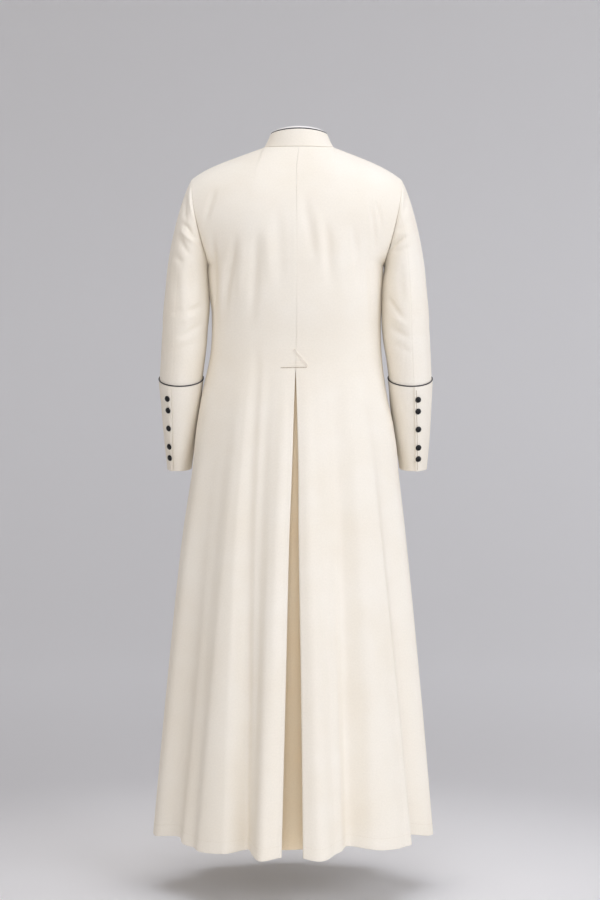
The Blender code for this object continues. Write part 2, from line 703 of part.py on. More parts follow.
def sleeve(side, word):
    """Top and under sleeve, cuff with its cord, and the cuff's buttons."""
    nets = {
        "top": sleeve_net(side, FOREARM_SEAM - SLEEVE_STEPS, HINDARM_SEAM),
        "under": sleeve_net(side, HINDARM_SEAM, FOREARM_SEAM),
    }
    normals = shared_normals(nets.values())
    for part, net in nets.items():
        wall(f"sleeve_{part}_{word}", "wool cloth", net[:-1], normals, CLOTH)
    whole = sleeve_net(side, HINDARM_SEAM, HINDARM_SEAM + SLEEVE_STEPS)
    above = whole[CAP_ROWS + CUFF_FIRST - 1]
    cuff = whole[CAP_ROWS + CUFF_FIRST:]
    wall(f"cuff_{word}", "wool cloth", cuff, normals, CLOTH, lift=CLOTH + SEAM_GAP)
    path = []
    for place_on, higher in zip(cuff[0][:-1], above):
        up = (higher - place_on).normalized()
        path.append(place_on + (normals[key(place_on)] + up) * (PIPING_RADIUS + 2 * SEAM_GAP))
    cord(f"cuff_piping_{word}", path, PIPING_RADIUS)
    line = sleeve_net(side, BUTTON_LINE, BUTTON_LINE + 1)[CAP_ROWS + CUFF_FIRST:]
    for number, drop in enumerate(CUFF_BUTTON_DROPS):
        ends = [on_column(line, normals, i, line[0][i].z - drop) for i in (0, 1)]
        seat = ends[0][0].lerp(ends[1][0], 0.5)
        direction = (ends[0][1] + ends[1][1]).normalized()
        button(f"cuff_button_{word}_{number + 1}", seat + direction * (CLOTH + SEAM_GAP), direction)


def main():
    for existing in list(bpy.data.objects):
        bpy.data.objects.remove(existing)
    body()
    collar()
    sleeve(1, "left")
    sleeve(-1, "right")


main()
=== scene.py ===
"""A worn cassock of ivory wool cloth, seen from behind: folds, creases, piping, buttons and stitching.

Metres, +Z up. The origin is the middle of the neckline, the front faces -Y and the wearer's left is +X.
"""
import json
import math

import bpy
import numpy as np
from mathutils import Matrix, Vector

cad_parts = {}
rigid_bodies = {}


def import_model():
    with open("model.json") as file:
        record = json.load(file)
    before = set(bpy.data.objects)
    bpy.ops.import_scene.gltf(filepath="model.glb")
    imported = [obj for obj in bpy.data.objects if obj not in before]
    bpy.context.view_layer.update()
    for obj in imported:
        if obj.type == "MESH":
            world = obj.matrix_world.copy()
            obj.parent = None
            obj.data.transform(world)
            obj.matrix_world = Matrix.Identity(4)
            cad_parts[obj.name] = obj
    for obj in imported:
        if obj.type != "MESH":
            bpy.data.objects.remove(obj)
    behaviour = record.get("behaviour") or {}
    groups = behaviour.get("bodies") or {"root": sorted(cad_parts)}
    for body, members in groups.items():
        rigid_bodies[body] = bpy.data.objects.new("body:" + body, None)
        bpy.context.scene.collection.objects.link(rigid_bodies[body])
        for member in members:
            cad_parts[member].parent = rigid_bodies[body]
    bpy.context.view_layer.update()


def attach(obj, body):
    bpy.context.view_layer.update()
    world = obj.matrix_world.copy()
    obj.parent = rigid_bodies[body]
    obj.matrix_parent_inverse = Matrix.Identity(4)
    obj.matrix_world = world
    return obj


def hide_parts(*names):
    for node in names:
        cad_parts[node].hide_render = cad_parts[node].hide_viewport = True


# Sizes of the part
CLOTH = 0.002
SEAM_GAP = 0.0003
HEM_DROP = 1.43
NECK_HALF_WIDTH = 0.0735
NECK_BACK = 0.062
NECK_FRONT = 0.075
NECK_BACK_DROP = 0.006
NECK_FRONT_DROP = 0.065
NECK_DROP_CURVE = 1.3
NECK_SWAY = -0.005
NECK_SWAY_REACH = 0.06
SHOULDER_TIP = 0.2185
SHOULDER_SLOPE = 0.355
SHOULDER_ROLL = 0.012
SHOULDER_ROLL_CURVE = 5
ARMHOLE_TOP = -0.0668
ARMHOLE_BOTTOM = -0.245
ARMHOLE_LEAN = 0.0365
ARMHOLE_CURVE = 1.6
ARMHOLE_REACH = 6
ARMHOLE_CLEAR = (0.0001, 0.0, -0.0001)
RIDGE_FADE = 1.5
ARMHOLE_BACK = 0.075
ARMHOLE_FRONT = 0.070
CHEST_FLATNESS = 2.6
CHEST_ROUND_FROM = 0.35
COLLAR_CLOTH = 0.003
COLLAR_TOP_HALF_WIDTH = 0.0595
COLLAR_TOP_BACK = 0.055
COLLAR_TOP_FRONT = 0.064
COLLAR_SIDE_Z = 0.028
COLLAR_BACK_RISE = 0.004
COLLAR_FRONT_FALL = 0.046
COLLAR_FALL_CURVE = 1.5
COLLAR_LEAN_CURVE = 0.8
COLLAR_END_GAP = 0.0012
INSERT_CLOTH = 0.0012
INSERT_ABOVE = 0.0065
INSERT_BELOW = 0.018
PIPING_RADIUS = 0.0011
TACK_Z = -0.46
SLIT_Z = -0.466
SEAM_TURNING = 0.010
PLEAT_MOUTH = 0.0205
PLEAT_MOUTH_GROWTH = 0.8
PLEAT_INNER = 0.050
PLEAT_DEPTH = 0.090
PLEAT_TOP = 0.008
OVERLAP = 0.020
OVERLAP_STEP = 0.0026
OVERLAP_EASE = 0.030
BUTTON_RADIUS = 0.0064
BUTTON_HEIGHT = 0.0048
BUTTON_SEAT = 0.0004
FRONT_BUTTONS = 28
FRONT_BUTTON_TOP = -0.088
FRONT_BUTTON_END = -1.335
CUFF_BUTTON_DROPS = (0.0255, 0.0495, 0.0865, 0.1245, 0.148)
YOKE_ROWS = 11
SKIRT_ROWS = 15
PANEL_COLUMNS = 14
NECK_COLUMNS = 5
NECK_SHARE = NECK_COLUMNS / PANEL_COLUMNS
CAP_ROWS = 7
SLEEVE_STEPS = 22
BUTTON_LINE = 3.5
HINDARM_SEAM = 4
FOREARM_SEAM = 14
RIGHT_ARM_TURN = 1
CUFF_TOP = -0.4826

# Slopes of the sleeve's cap: where it leaves the shoulder and the underarm, and where it ends
CAP_TOP_SLOPE = (0.29, -0.50)
CAP_UNDER_SLOPE = (0.315, -0.765)
CAP_SIDE_SLOPE = 0.225
CAP_END_SLOPE = (0.06, -1.0)
CAP_SPACING = 1.1


def table(columns, rows):
    """Rows of numbers as dicts by column."""
    return [dict(zip(columns.split(), row)) for row in rows]


# Level sections of the body, from the underarm to the hem
SECTIONS = table("z half_width back front squareness sway", [
    (-0.245, 0.1820, 0.132, 0.135, 2.30, 0.0000),
    (-0.330, 0.1775, 0.122, 0.138, 2.30, 0.0000),
    (-0.400, 0.1768, 0.108, 0.134, 2.25, 0.0005),
    (-0.460, 0.1820, 0.104, 0.132, 2.20, 0.0015),
    (-0.550, 0.1960, 0.117, 0.140, 2.10, 0.0020),
    (-0.670, 0.2135, 0.137, 0.155, 2.00, 0.0025),
    (-0.820, 0.2330, 0.160, 0.174, 1.90, 0.0050),
    (-1.110, 0.2612, 0.204, 0.211, 1.80, 0.0060),
    (-1.430, 0.2880, 0.252, 0.250, 1.75, 0.0080),
])

# Centre lines above the underarm, from the neckline down
CENTRE_BACK = table("z y", [
    (-0.006, 0.062),
    (-0.035, 0.083),
    (-0.075, 0.105),
    (-0.125, 0.123),
    (-0.185, 0.132),
    (-0.245, 0.132),
])
CENTRE_FRONT = table("z y", [
    (-0.065, 0.075),
    (-0.090, 0.094),
    (-0.130, 0.115),
    (-0.180, 0.130),
    (-0.245, 0.135),
])

# Main folds of the skirt: middle at the waist and at the hem and half width, all three in degrees from the
# centre back, positive to the wearer's left, then depth at the hem and the height at which the fold starts.
# A ridge stands out and a trough, with a negative depth, goes in.
FOLDS = [
    (12, 13, 9, 0.016, -0.46),
    (28, 23, 9, -0.016, -0.43),
    (45, 42, 15, 0.007, -0.46),
    (63, 70, 15, -0.026, -0.40),
    (86, 93, 17, 0.004, -0.50),
    (108, 113, 14, -0.018, -0.50),
    (128, 134, 14, 0.010, -0.55),
    (148, 154, 11, -0.011, -0.62),
    (-10, -12, 10, 0.017, -0.46),
    (-34, -31, 15, -0.026, -0.48),
    (-54, -54, 12, 0.005, -0.46),
    (-67, -73, 11, -0.030, -0.44),
    (-88, -97, 16, 0.004, -0.50),
    (-112, -118, 13, -0.020, -0.52),
    (-133, -137, 13, 0.011, -0.58),
    (-153, -156, 10, -0.009, -0.66),
]
FOLD_GROWTH = 0.9
HEM_DIP = 0.30

# Sections of the sleeve under its cap, the left arm's and the right arm's
SLEEVE_SECTIONS = table("z x half x_right half_right y deep tilt twist", [
    (-0.2850, 0.2292, 0.0431, 0.2254, 0.0452, 0.004, 0.0730, 0, 0),
    (-0.3400, 0.2310, 0.0466, 0.2283, 0.0473, 0.006, 0.0710, 3, 0),
    (-0.4000, 0.2337, 0.0472, 0.2305, 0.0480, 0.004, 0.0670, 8, 1),
    (-0.4400, 0.2372, 0.0462, 0.2342, 0.0466, -0.001, 0.0640, 13, 2),
    (-0.4826, 0.2414, 0.0446, 0.2380, 0.0446, -0.008, 0.0620, 17, 3),
    (-0.5300, 0.2427, 0.0395, 0.2408, 0.0405, -0.020, 0.0600, 16, 4),
    (-0.6000, 0.2458, 0.0318, 0.2446, 0.0341, -0.040, 0.0575, 11, 5),
    (-0.6660, 0.2482, 0.0238, 0.2470, 0.0272, -0.059, 0.0550, 5, 6),
    (-0.6700, 0.2484, 0.0234, 0.2472, 0.0267, -0.060, 0.0550, 5, 6),
])

# Finer folds of the skirt, in the same way as the main ones
SOFT_FOLDS = [
    (41, 26, 7, -0.024, -0.40),
    (24, 14, 5, 0.003, -0.46),
    (-41, -33, 9, -0.016, -0.46),
    (56, 54, 9, -0.012, -0.50),
    (74, 80, 6, 0.005, -0.48),
    (98, 102, 6, -0.004, -0.66),
    (120, 123, 5, 0.004, -0.70),
    (140, 144, 6, -0.004, -0.58),
    (-21, -20, 6, -0.003, -0.62),
    (-26, -24, 6, 0.003, -0.58),
    (-61, -62, 4, 0.004, -0.50),
    (-79, -86, 6, 0.005, -0.55),
    (-99, -107, 6, -0.004, -0.64),
    (-124, -127, 6, -0.004, -0.60),
    (-143, -147, 5, 0.004, -0.72),
]

# Creases, in millimetres: the half width of the trough, its depth, and its path's places across and up.
# A negative depth is a ridge. The place across is x on the back and the front, and y on the two sides.
BODY_CREASES = {
    "back": [
        (7, 3.0, (160, -88), (169, -106), (180, -140), (191, -182)),
        (7, 5.6, (171, -170), (171, -240), (170, -300), (165, -388)),
        (8, 5.4, (122, -180), (129, -225), (141, -286), (150, -375)),
        (10, 5.0, (76, -165), (83, -240), (86, -300), (95, -400)),
        (11, 2.2, (44, -124), (35, -190), (33, -250), (31, -340)),
        (9, 2.5, (-18, -96), (-20, -150), (-29, -200), (-39, -265)),
        (9, 4.4, (-60, -155), (-65, -230), (-67, -310)),
        (9, 4.2, (-112, -160), (-124, -235), (-132, -320)),
        (8, 4.0, (-148, -215), (-156, -310), (-158, -408)),
        (6, 2.8, (-146, -112), (-154, -146), (-160, -196), (-162, -250)),
        (5, 2.8, (-160, -116), (-170, -150), (-174, -192)),
        (8, -2.2, (150, -215), (154, -290), (158, -370)),
        (9, -2.2, (106, -190), (112, -260), (120, -340)),
        (10, -1.8, (62, -170), (58, -230), (55, -300)),
        (9, -2.2, (-40, -130), (-46, -200), (-50, -270)),
        (11, -2.2, (-84, -170), (-90, -260), (-96, -340)),
        (4, -0.5, (5, -60), (4, -150), (4, -300), (4, -440)),
    ],
    "front": [
        (9, 4.4, (150, -150), (146, -215), (152, -290), (158, -370)),
        (11, 3.2, (108, -170), (112, -240), (122, -330)),
        (12, 2.6, (62, -250), (70, -330), (80, -420)),
        (9, 4.2, (-152, -140), (-150, -220), (-156, -300), (-160, -380)),
        (11, 3.2, (-104, -185), (-112, -270), (-120, -350)),
        (12, 2.4, (-58, -240), (-66, -320), (-72, -400)),
        (6, 2.8, (172, -120), (166, -160), (158, -200)),
        (6, 2.8, (-172, -125), (-165, -160), (-160, -195)),
    ],
    "left": [
        (10, 1.8, (20, -262), (26, -330), (18, -400)),
        (11, 2.0, (-30, -262), (-40, -340), (-30, -420)),
        (45, -4.5, (0, -222), (0, -270), (0, -300), (0, -350)),
        (45, -5.5, (0, -425), (0, -480), (0, -540), (0, -600), (0, -690)),
    ],
    "right": [
        (10, 1.8, (24, -262), (30, -340), (20, -410)),
        (11, 2.0, (-34, -262), (-42, -330), (-34, -400)),
        (45, -3.5, (0, -520), (0, -580), (0, -630), (0, -690)),
    ],
}
LEFT_SLEEVE_CREASES = {
    "back": [
        (3.5, -2.2, (221, -78), (219, -118), (214, -149), (206, -186)),
        (5, 4.6, (229, -92), (231, -118), (229, -150), (222, -168)),
        (4.5, 4.6, (240, -164), (226, -172), (217, -184), (203, -204)),
        (4.5, -3.4, (240, -172), (231, -188), (215, -203), (199, -217)),
        (6, 3.2, (246, -184), (236, -206), (222, -226), (208, -240)),
        (6, 2.4, (250, -226), (240, -242), (228, -250)),
        (5.5, 4.4, (252, -402), (230, -394), (207, -380), (186, -362)),
        (5.5, 3.8, (226, -350), (208, -341), (188, -328)),
        (9, 2.0, (252, -250), (246, -310), (244, -360)),
        (8, 2.2, (215, -235), (212, -290), (216, -335)),
        (7, 2.4, (262, -440), (240, -424), (212, -412), (194, -404)),
        (6, -2.4, (240, -375), (222, -362), (200, -350)),
        (6, 2.2, (258, -356), (244, -346), (230, -342)),
    ],
    "front": [
        (6.5, 4.4, (262, -395), (238, -380), (212, -378), (194, -386)),
        (6.5, 3.4, (256, -360), (232, -350), (206, -354)),
        (6.5, 3.0, (264, -430), (240, -418), (212, -420)),
        (6, 4.0, (228, -170), (214, -196), (200, -226)),
        (6.5, 2.6, (244, -190), (226, -222), (206, -250)),
        (5, 2.6, (226, -96), (222, -130), (216, -160)),
    ],
    "left": [
        (8, 2.0, (-40, -385), (-10, -372), (26, -384)),
        (9, 1.8, (30, -150), (36, -220), (28, -290)),
        (10, 2.0, (-28, -160), (-34, -240), (-26, -310)),
    ],
    "right": [
        (45, -4.0, (4, -235), (4, -275), (4, -330), (4, -390)),
    ],
}
RIGHT_SLEEVE_CREASES = {
    "back": [
        (3.5, -1.4, (-221, -78), (-219, -118), (-214, -149), (-206, -186)),
        (6, 2.2, (-226, -96), (-226, -130), (-220, -160)),
        (4.5, 5.0, (-190, -222), (-201, -208), (-214, -199), (-234, -190)),
        (5, 2.6, (-204, -186), (-216, -176), (-234, -160)),
        (6, 3.0, (-192, -234), (-212, -222), (-242, -212)),
        (5.5, 4.4, (-184, -308), (-200, -336), (-224, -368)),
        (5.5, 4.4, (-188, -374), (-208, -388), (-236, -402)),
        (8, 2.2, (-216, -240), (-214, -290), (-222, -340)),
        (9, 1.8, (-250, -230), (-256, -300), (-256, -370)),
        (6, -2.4, (-196, -352), (-214, -368), (-236, -380)),
        (7, 2.4, (-192, -408), (-214, -420), (-248, -436)),
    ],
    "front": [
        (6.5, 4.4, (-260, -390), (-236, -376), (-210, -374), (-192, -382)),
        (6.5, 3.0, (-254, -356), (-230, -348), (-204, -350)),
        (6.5, 3.2, (-262, -428), (-238, -416), (-210, -418)),
        (6, 4.0, (-226, -174), (-212, -200), (-198, -230)),
        (6.5, 2.6, (-242, -196), (-224, -226), (-204, -254)),
        (5, 2.4, (-226, -98), (-223, -132), (-216, -164)),
    ],
    "right": [
        (8, 2.0, (-42, -380), (-12, -370), (24, -380)),
        (9, 1.8, (28, -155), (34, -225), (26, -295)),
        (10, 2.0, (-30, -150), (-36, -235), (-28, -305)),
    ],
    "left": [
        (45, -4.0, (4, -235), (4, -280), (4, -360), (0, -450)),
        (34, -3.0, (-18, -480), (-36, -540), (-50, -600), (-60, -668)),
    ],
}

# How a crease fades: with the cloth's direction, and towards the two ends of its path
FACING_FROM = 0.15
FACING_SPAN = 0.45
CREASE_RISE = 0.35
CREASE_FADE = 0.45

# Fineness: rows and columns for each of the part's own, and the skirt's rows closer near the waist
WAIST_CROWDING = 0.28
YOKE_FINE = 6
YOKE_SAMPLES = 4
SKIRT_FINE = 14
PANEL_FINE = 6
SLEEVE_FINE = 6
CAP_FINE = 12
SLEEVE_ROW = 0.0036
COLLAR_FINE = 8
COLLAR_ROWS = 12
INSERT_ROWS = 8
ROLL_STEPS = 5
FLAP_COLUMNS = 8
OVERLAP_COLUMNS = 8
UNDERLAY_COLUMNS = 24
BUTTON_SIDES = 20
SWEEP_SIDES = 96
SWEEP_STEPS = 12
THIN = 0.0017
COLLAR_EASE = 0.0004

# Turned edges, seams and stitching
SEAM_ROLL = 0.0002
SEAM_REST = -0.0003
PLEAT_ROLL = 0.0036
PLEAT_ROLL_RISE = 0.2
UNDERLAY_ROUND = 0.022
UNDERLAY_LEAN = 1.6
CUFF_LAP = 0.0032
CUFF_LAP_EASE = 40.0
CUFF_UNDER = 9.0
HEM_STITCH = 0.023
FRONT_STITCH = 0.007
CUFF_STITCH = 0.004
THREAD_LIFT = 0.0001
BUTTONHOLE = (0.004, 0.0105)
BUTTONHOLE_EDGE = 0.0006

# Radius and height of a covered button's rings, as shares of its own, and the tucks under its rim
BUTTON_PROFILE = (
    (0.30, 0.00), (0.42, 0.05), (0.78, 0.10), (0.95, 0.20), (1.00, 0.34), (0.985, 0.47),
    (0.93, 0.62), (0.82, 0.76), (0.66, 0.87), (0.45, 0.95), (0.22, 0.99),
)
BUTTON_TUCKS = 10
BUTTON_TUCK_DEPTH = 0.02

# The triangle sewn over the top of the pleat, in millimetres across and up
TACK_BASE = [((31, -463.5), (-20, -462.5))]
TACK_BARS = [((17, -457.0), (-20, -456.5)), ((13, -452.0), (-17, -451.5))]
TACK_SLANT = [((3.0 + i, -425.0 - 0.8 * i), (-24.0 + i, -459.0 - 0.8 * i)) for i in range(4)]
TACK_PLACES = 24

# Places inside the body, the pleat, the collar and the left sleeve, away from which their cloth faces
BODY_HUB = (0.0, 0.0, -0.7)
PLEAT_HUB = (0.0, 0.0, -0.9)
COLLAR_HUB = (0.0, 0.0, 0.0)
SLEEVE_HUB = (0.235, 0.0, -0.38)

# Camera and stage
CAMERA_AT = (-0.0073, 4.0, -0.631)
LENS = 76.55
FLOOR_Z = -1.545
STAGE_FLAT = 3.0
STAGE_BEND = 7.0
STAGE_TOP = 9.0
STAGE_CENTRE = 0.02

# Scale of a wave texture whose bands are a metre apart
WAVE = 0.05 * math.tau


def smooth(t):
    """Ease from 0 to 1."""
    t = np.clip(t, 0.0, 1.0)
    return t * t * (3.0 - 2.0 * t)


def unit(vectors):
    """The vectors at length one."""
    return vectors / np.maximum(np.linalg.norm(vectors, axis=-1, keepdims=True), 1e-12)


def read(table, column, z):
    """Values of a column at heights z, on a smooth curve through the table's rows, top to bottom."""
    heights = np.array([row["z"] for row in table])
    values = np.array([row[column] for row in table], float)
    last = len(heights) - 1
    at = np.clip(np.searchsorted(-heights, -np.asarray(z, float), side="right") - 1, 0, last - 1)
    low = np.maximum(at - 1, 0)
    high = np.minimum(at + 2, last)
    slope_a = (values[at + 1] - values[low]) / (heights[at + 1] - heights[low])
    slope_b = (values[high] - values[at]) / (heights[high] - heights[at])
    step = heights[at + 1] - heights[at]
    t = np.clip((z - heights[at]) / step, 0.0, 1.0)
    start = values[at] * (1 + 2 * t) * (1 - t) ** 2 + slope_a * step * t * (1 - t) ** 2
    end = values[at + 1] * t * t * (3 - 2 * t) + slope_b * step * t * t * (t - 1)
    return start + end


def sway(z):
    """How far the middle of the garment stands off the centre plane at height z."""
    return NECK_SWAY * smooth(1.0 + z / NECK_SWAY_REACH) + read(SECTIONS, "sway", z)


def growth(z, start):
    """How much of a fold's hem depth it has at height z."""
    return np.maximum((start - z) / (start + HEM_DROP), 0.0) ** FOLD_GROWTH


def fold_depth(angle, z, folds):
    """Sum of the ridges and troughs at an angle from the centre back."""
    total = np.zeros(np.broadcast(angle, z).shape)
    for at_waist, at_hem, half_angle, depth, start in folds:
        share = growth(z, start)
        along = np.minimum(share, 1.0)
        middle = at_waist * (1 - along) + at_hem * along
        off = (angle - middle + 180.0) % 360.0 - 180.0
        near = np.clip(off / half_angle, -1.0, 1.0)
        total = total + share * depth * 0.5 * (1 + np.cos(math.pi * near))
    return total


def pleat_share(z):
    """0 at the tack, 1 at the hem."""
    return np.clip((TACK_Z - z) / (TACK_Z + HEM_DROP), 0.0, 1.0)


def mouth(z):
    """Half of the gap between the pleat's two folded edges."""
    share = np.clip((SLIT_Z - z) / (SLIT_Z + HEM_DROP), 0.0, 1.0)
    return PLEAT_MOUTH * share**PLEAT_MOUTH_GROWTH


def top_edge(v, back):
    """Neckline and shoulder seam of one panel, as x, outward depth and z."""
    turn = 0.5 * math.pi * np.minimum(v / NECK_SHARE, 1.0)
    depth = NECK_BACK if back else NECK_FRONT
    drop = NECK_BACK_DROP if back else NECK_FRONT_DROP
    cos = np.maximum(np.cos(turn), 0.0)
    whole = SHOULDER_TIP - NECK_HALF_WIDTH
    run = whole * np.clip((v - NECK_SHARE) / (1 - NECK_SHARE), 0.0, 1.0)
    fit = -ARMHOLE_TOP / (SHOULDER_SLOPE * whole + SHOULDER_ROLL)
    seam_z = -fit * (SHOULDER_SLOPE * run + SHOULDER_ROLL * (run / whole) ** SHOULDER_ROLL_CURVE)
    on_neck = v <= NECK_SHARE
    x = np.where(on_neck, NECK_HALF_WIDTH * np.sin(turn), NECK_HALF_WIDTH + run)
    z = np.where(on_neck, -drop * cos**NECK_DROP_CURVE, seam_z)
    return x, np.where(on_neck, depth * cos, 0.0), z


def yoke_points(row, v, back):
    """Points of a left panel above the underarm."""
    theta = math.pi * row / YOKE_ROWS
    share = (1 - np.cos(theta)) / 2 + 0.0 * v
    square = SECTIONS[0]["squareness"]
    top_x, top_y, top_z = top_edge(v, back)
    low_u = np.sin(0.5 * math.pi * v) ** (2 / square)
    top_u = top_x / SHOULDER_TIP
    u = top_u * (1 - share) + low_u * share
    off_edge = np.where(theta > 0.5 * math.pi, 1 - u**ARMHOLE_REACH, 0.0)
    share = share + (theta / math.pi - share) * off_edge
    depth = ARMHOLE_BACK if back else ARMHOLE_FRONT
    arm_y = depth * np.maximum(np.sin(theta), 0.0) ** (1 + off_edge)
    arm_x = SHOULDER_TIP - ARMHOLE_LEAN * share**ARMHOLE_CURVE
    arm_z = ARMHOLE_TOP + (ARMHOLE_BOTTOM - ARMHOLE_TOP) * share
    centre_line = CENTRE_BACK if back else CENTRE_FRONT
    first_z = centre_line[0]["z"]
    centre_z = first_z + (ARMHOLE_BOTTOM - first_z) * share
    centre_y = read(centre_line, "y", centre_z)
    flat = 1 - u**CHEST_FLATNESS
    full = np.maximum(1 - u**square, 0.0) ** (1 / square)
    ease = smooth((share - CHEST_ROUND_FROM) / (1 - CHEST_ROUND_FROM))
    y = arm_y + (centre_y - arm_y) * (flat * (1 - ease) + full * ease)
    z = arm_z + (centre_z - arm_z) * (1 - u)
    first_y = centre_line[0]["y"] * (1 - top_u**CHEST_FLATNESS)
    line_z = ARMHOLE_TOP + (first_z - ARMHOLE_TOP) * (1 - top_u)
    y = y + (top_y - first_y) * (1 - np.sin(np.minimum(theta, 0.5 * math.pi))) ** RIDGE_FADE
    z = z + (top_z - line_z) * (1 - share)
    return np.stack((arm_x * u, y, z), axis=-1)


def skirt_points(z, v, back):
    """Points of a left panel under the underarm, and their angles from its own centre line."""
    width = read(SECTIONS, "half_width", z)
    depth = read(SECTIONS, "back" if back else "front", z)
    square = read(SECTIONS, "squareness", z)
    inset = mouth(z) if back else 0.0 * z
    first = np.arcsin((inset / width) ** (square / 2))
    turn = first + (0.5 * math.pi - first) * v
    x = width * np.sin(turn) ** (2 / square)
    y = depth * np.maximum(np.cos(turn), 0.0) ** (2 / square)
    return np.stack((x, y, z + 0.0 * v), axis=-1), np.degrees(np.arctan2(x, y))


def respaced(grid, count):
    """The grid's columns at even steps of their own length."""
    steps = np.linalg.norm(np.diff(grid, axis=0), axis=-1)
    along = np.concatenate((np.zeros((1, grid.shape[1])), np.cumsum(steps, axis=0)))
    made = np.empty((count + 1, grid.shape[1], 3))
    for column in range(grid.shape[1]):
        at = np.linspace(0.0, along[-1, column], count + 1)
        for axis in range(3):
            made[:, column, axis] = np.interp(at, along[:, column], grid[:, column, axis])
    return made


def panel_points(side, back):
    """Points of one body panel, from its centre line to its side seam and from the shoulder to the hem."""
    v = np.linspace(0.0, 1.0, PANEL_COLUMNS * PANEL_FINE + 1)[None, :]
    rows = np.linspace(0.0, YOKE_ROWS, YOKE_ROWS * YOKE_FINE * YOKE_SAMPLES + 1)[:, None]
    upper = respaced(yoke_points(rows, v, back), YOKE_ROWS * YOKE_FINE)
    t = np.linspace(0.0, 1.0, SKIRT_ROWS * SKIRT_FINE + 1)[1:, None]
    down = (1 - WAIST_CROWDING) * t + WAIST_CROWDING * t * t
    z = ARMHOLE_BOTTOM + (-HEM_DROP - ARMHOLE_BOTTOM) * down
    lower, angle = skirt_points(z, v, back)
    face = 1.0 if back else -1.0
    upper = upper * np.array((side, face, 1.0))
    lower = lower * np.array((side, face, 1.0))
    whole = side * (angle if back else 180.0 - angle)
    depth = fold_depth(whole, z, FOLDS)
    fine = fold_depth(whole, z, SOFT_FOLDS)
    away = unit(lower * np.array((1.0, 1.0, 0.0)))
    lower = lower + away * (depth + fine)[..., None]
    lower[..., 2] -= HEM_DIP * depth * growth(z, TACK_Z)
    points = np.concatenate((upper, lower))
    points[..., 0] += sway(np.concatenate((upper[..., 2], z + 0.0 * v)))
    return points


def back_points(side):
    """A back panel with its turned-in centre edge: seam allowance above the tack, pleat side below it."""
    grid = panel_points(side, True)
    edge = grid[:, 0].copy()
    z = edge[:, 2]
    share = pleat_share(z)
    roll = SEAM_ROLL + (PLEAT_ROLL - SEAM_ROLL) * smooth(share / PLEAT_ROLL_RISE)
    end = edge.copy()
    end[:, 0] += side * (PLEAT_INNER * share - mouth(z) + SEAM_GAP / 2)
    end[:, 1] -= SEAM_TURNING + (PLEAT_DEPTH - SEAM_TURNING) * share
    edge[:, 0] += side * SEAM_GAP / 2
    along = unit(grid[:, 1] - edge)
    turned = []
    for turn in np.linspace(0.0, 0.5 * math.pi, ROLL_STEPS + 1):
        place = edge + along * (roll * (1 - math.cos(turn)))[:, None]
        place[:, 1] -= roll * (1 - math.sin(turn))
        turned.append(place)
    flap = [end + (turned[0] - end) * t for t in np.linspace(0.0, 1.0, FLAP_COLUMNS + 1)[:-1]]
    return np.concatenate((np.stack(flap + turned, axis=1), grid[:, 1:]), axis=1)


def front_points(side):
    """A front panel that passes the centre front by the overlap. The right one lies under the left."""
    grid = panel_points(side, False)
    middle = grid[:, 0]
    twin = grid[:, PANEL_FINE]
    span = np.abs(middle[:, 0] - twin[:, 0])
    beyond = []
    for part in np.linspace(1.0, 0.0, OVERLAP_COLUMNS + 1)[:-1]:
        place = middle + (twin - middle) * ((OVERLAP * part / span) ** 2)[:, None]
        place[:, 0] = middle[:, 0] - side * OVERLAP * part
        beyond.append(place)
    return np.concatenate((np.stack(beyond, axis=1), grid), axis=1)


def directions(grid, hub):
    """Outward direction at each point of a grid, whose hub is a point on its inner side."""
    normals = unit(np.cross(np.gradient(grid, axis=1), np.gradient(grid, axis=0)))
    if np.sum(normals * (grid - np.array(hub))) < 0:
        normals = -normals
    return normals


def shared(a, b):
    """Give two borders that meet one direction, the mean of theirs."""
    mean = unit(a + b)
    a[...] = mean
    b[...] = mean


def rounded(path, count=14):
    """A smooth path through a few places."""
    places = np.array(path, float)
    at = np.concatenate(([0.0], np.cumsum(np.linalg.norm(np.diff(places, axis=0), axis=1))))
    slopes = np.gradient(places, at, axis=0)
    made = []
    for s in np.linspace(0.0, at[-1], count):
        i = min(int(np.searchsorted(at, s, side="right")) - 1, len(at) - 2)
        step = at[i + 1] - at[i]
        t = (s - at[i]) / step
        start = places[i] * (1 + 2 * t) * (1 - t) ** 2 + slopes[i] * step * t * (1 - t) ** 2
        end = places[i + 1] * t * t * (3 - 2 * t) + slopes[i + 1] * step * t * t * (t - 1)
        made.append(start + end)
    return np.array(made)


def crease_depth(points, normals, creases):
    """How far the creases draw each point of a piece inwards, in metres."""
    total = np.zeros(points.shape[:-1])
    views = {"back": (0, 1, 1), "front": (0, 1, -1), "left": (1, 0, 1), "right": (1, 0, -1)}
    for face, drawn in creases.items():
        across, axis, sign = views[face]
        weight = smooth((sign * normals[..., axis] - FACING_FROM) / FACING_SPAN)
        place = np.stack((points[..., across], points[..., 2]), axis=-1) * 1000.0
        for width, depth, *places in drawn:
            path = rounded(places)
            near = np.full(total.shape, 1e9)
            along = np.zeros(total.shape)
            for i, (a, b) in enumerate(zip(path, path[1:])):
                step = b - a
                t = np.clip(((place - a) @ step) / (step @ step), 0.0, 1.0)
                off = np.linalg.norm(place - a - t[..., None] * step, axis=-1)
                closer = off < near
                near = np.where(closer, off, near)
                along = np.where(closer, (i + t) / (len(path) - 1), along)
            ends = smooth(along / CREASE_RISE) * smooth((1 - along) / CREASE_FADE)
            total += weight * ends * depth * 0.001 * np.exp(-((near / width) ** 2))
    return total


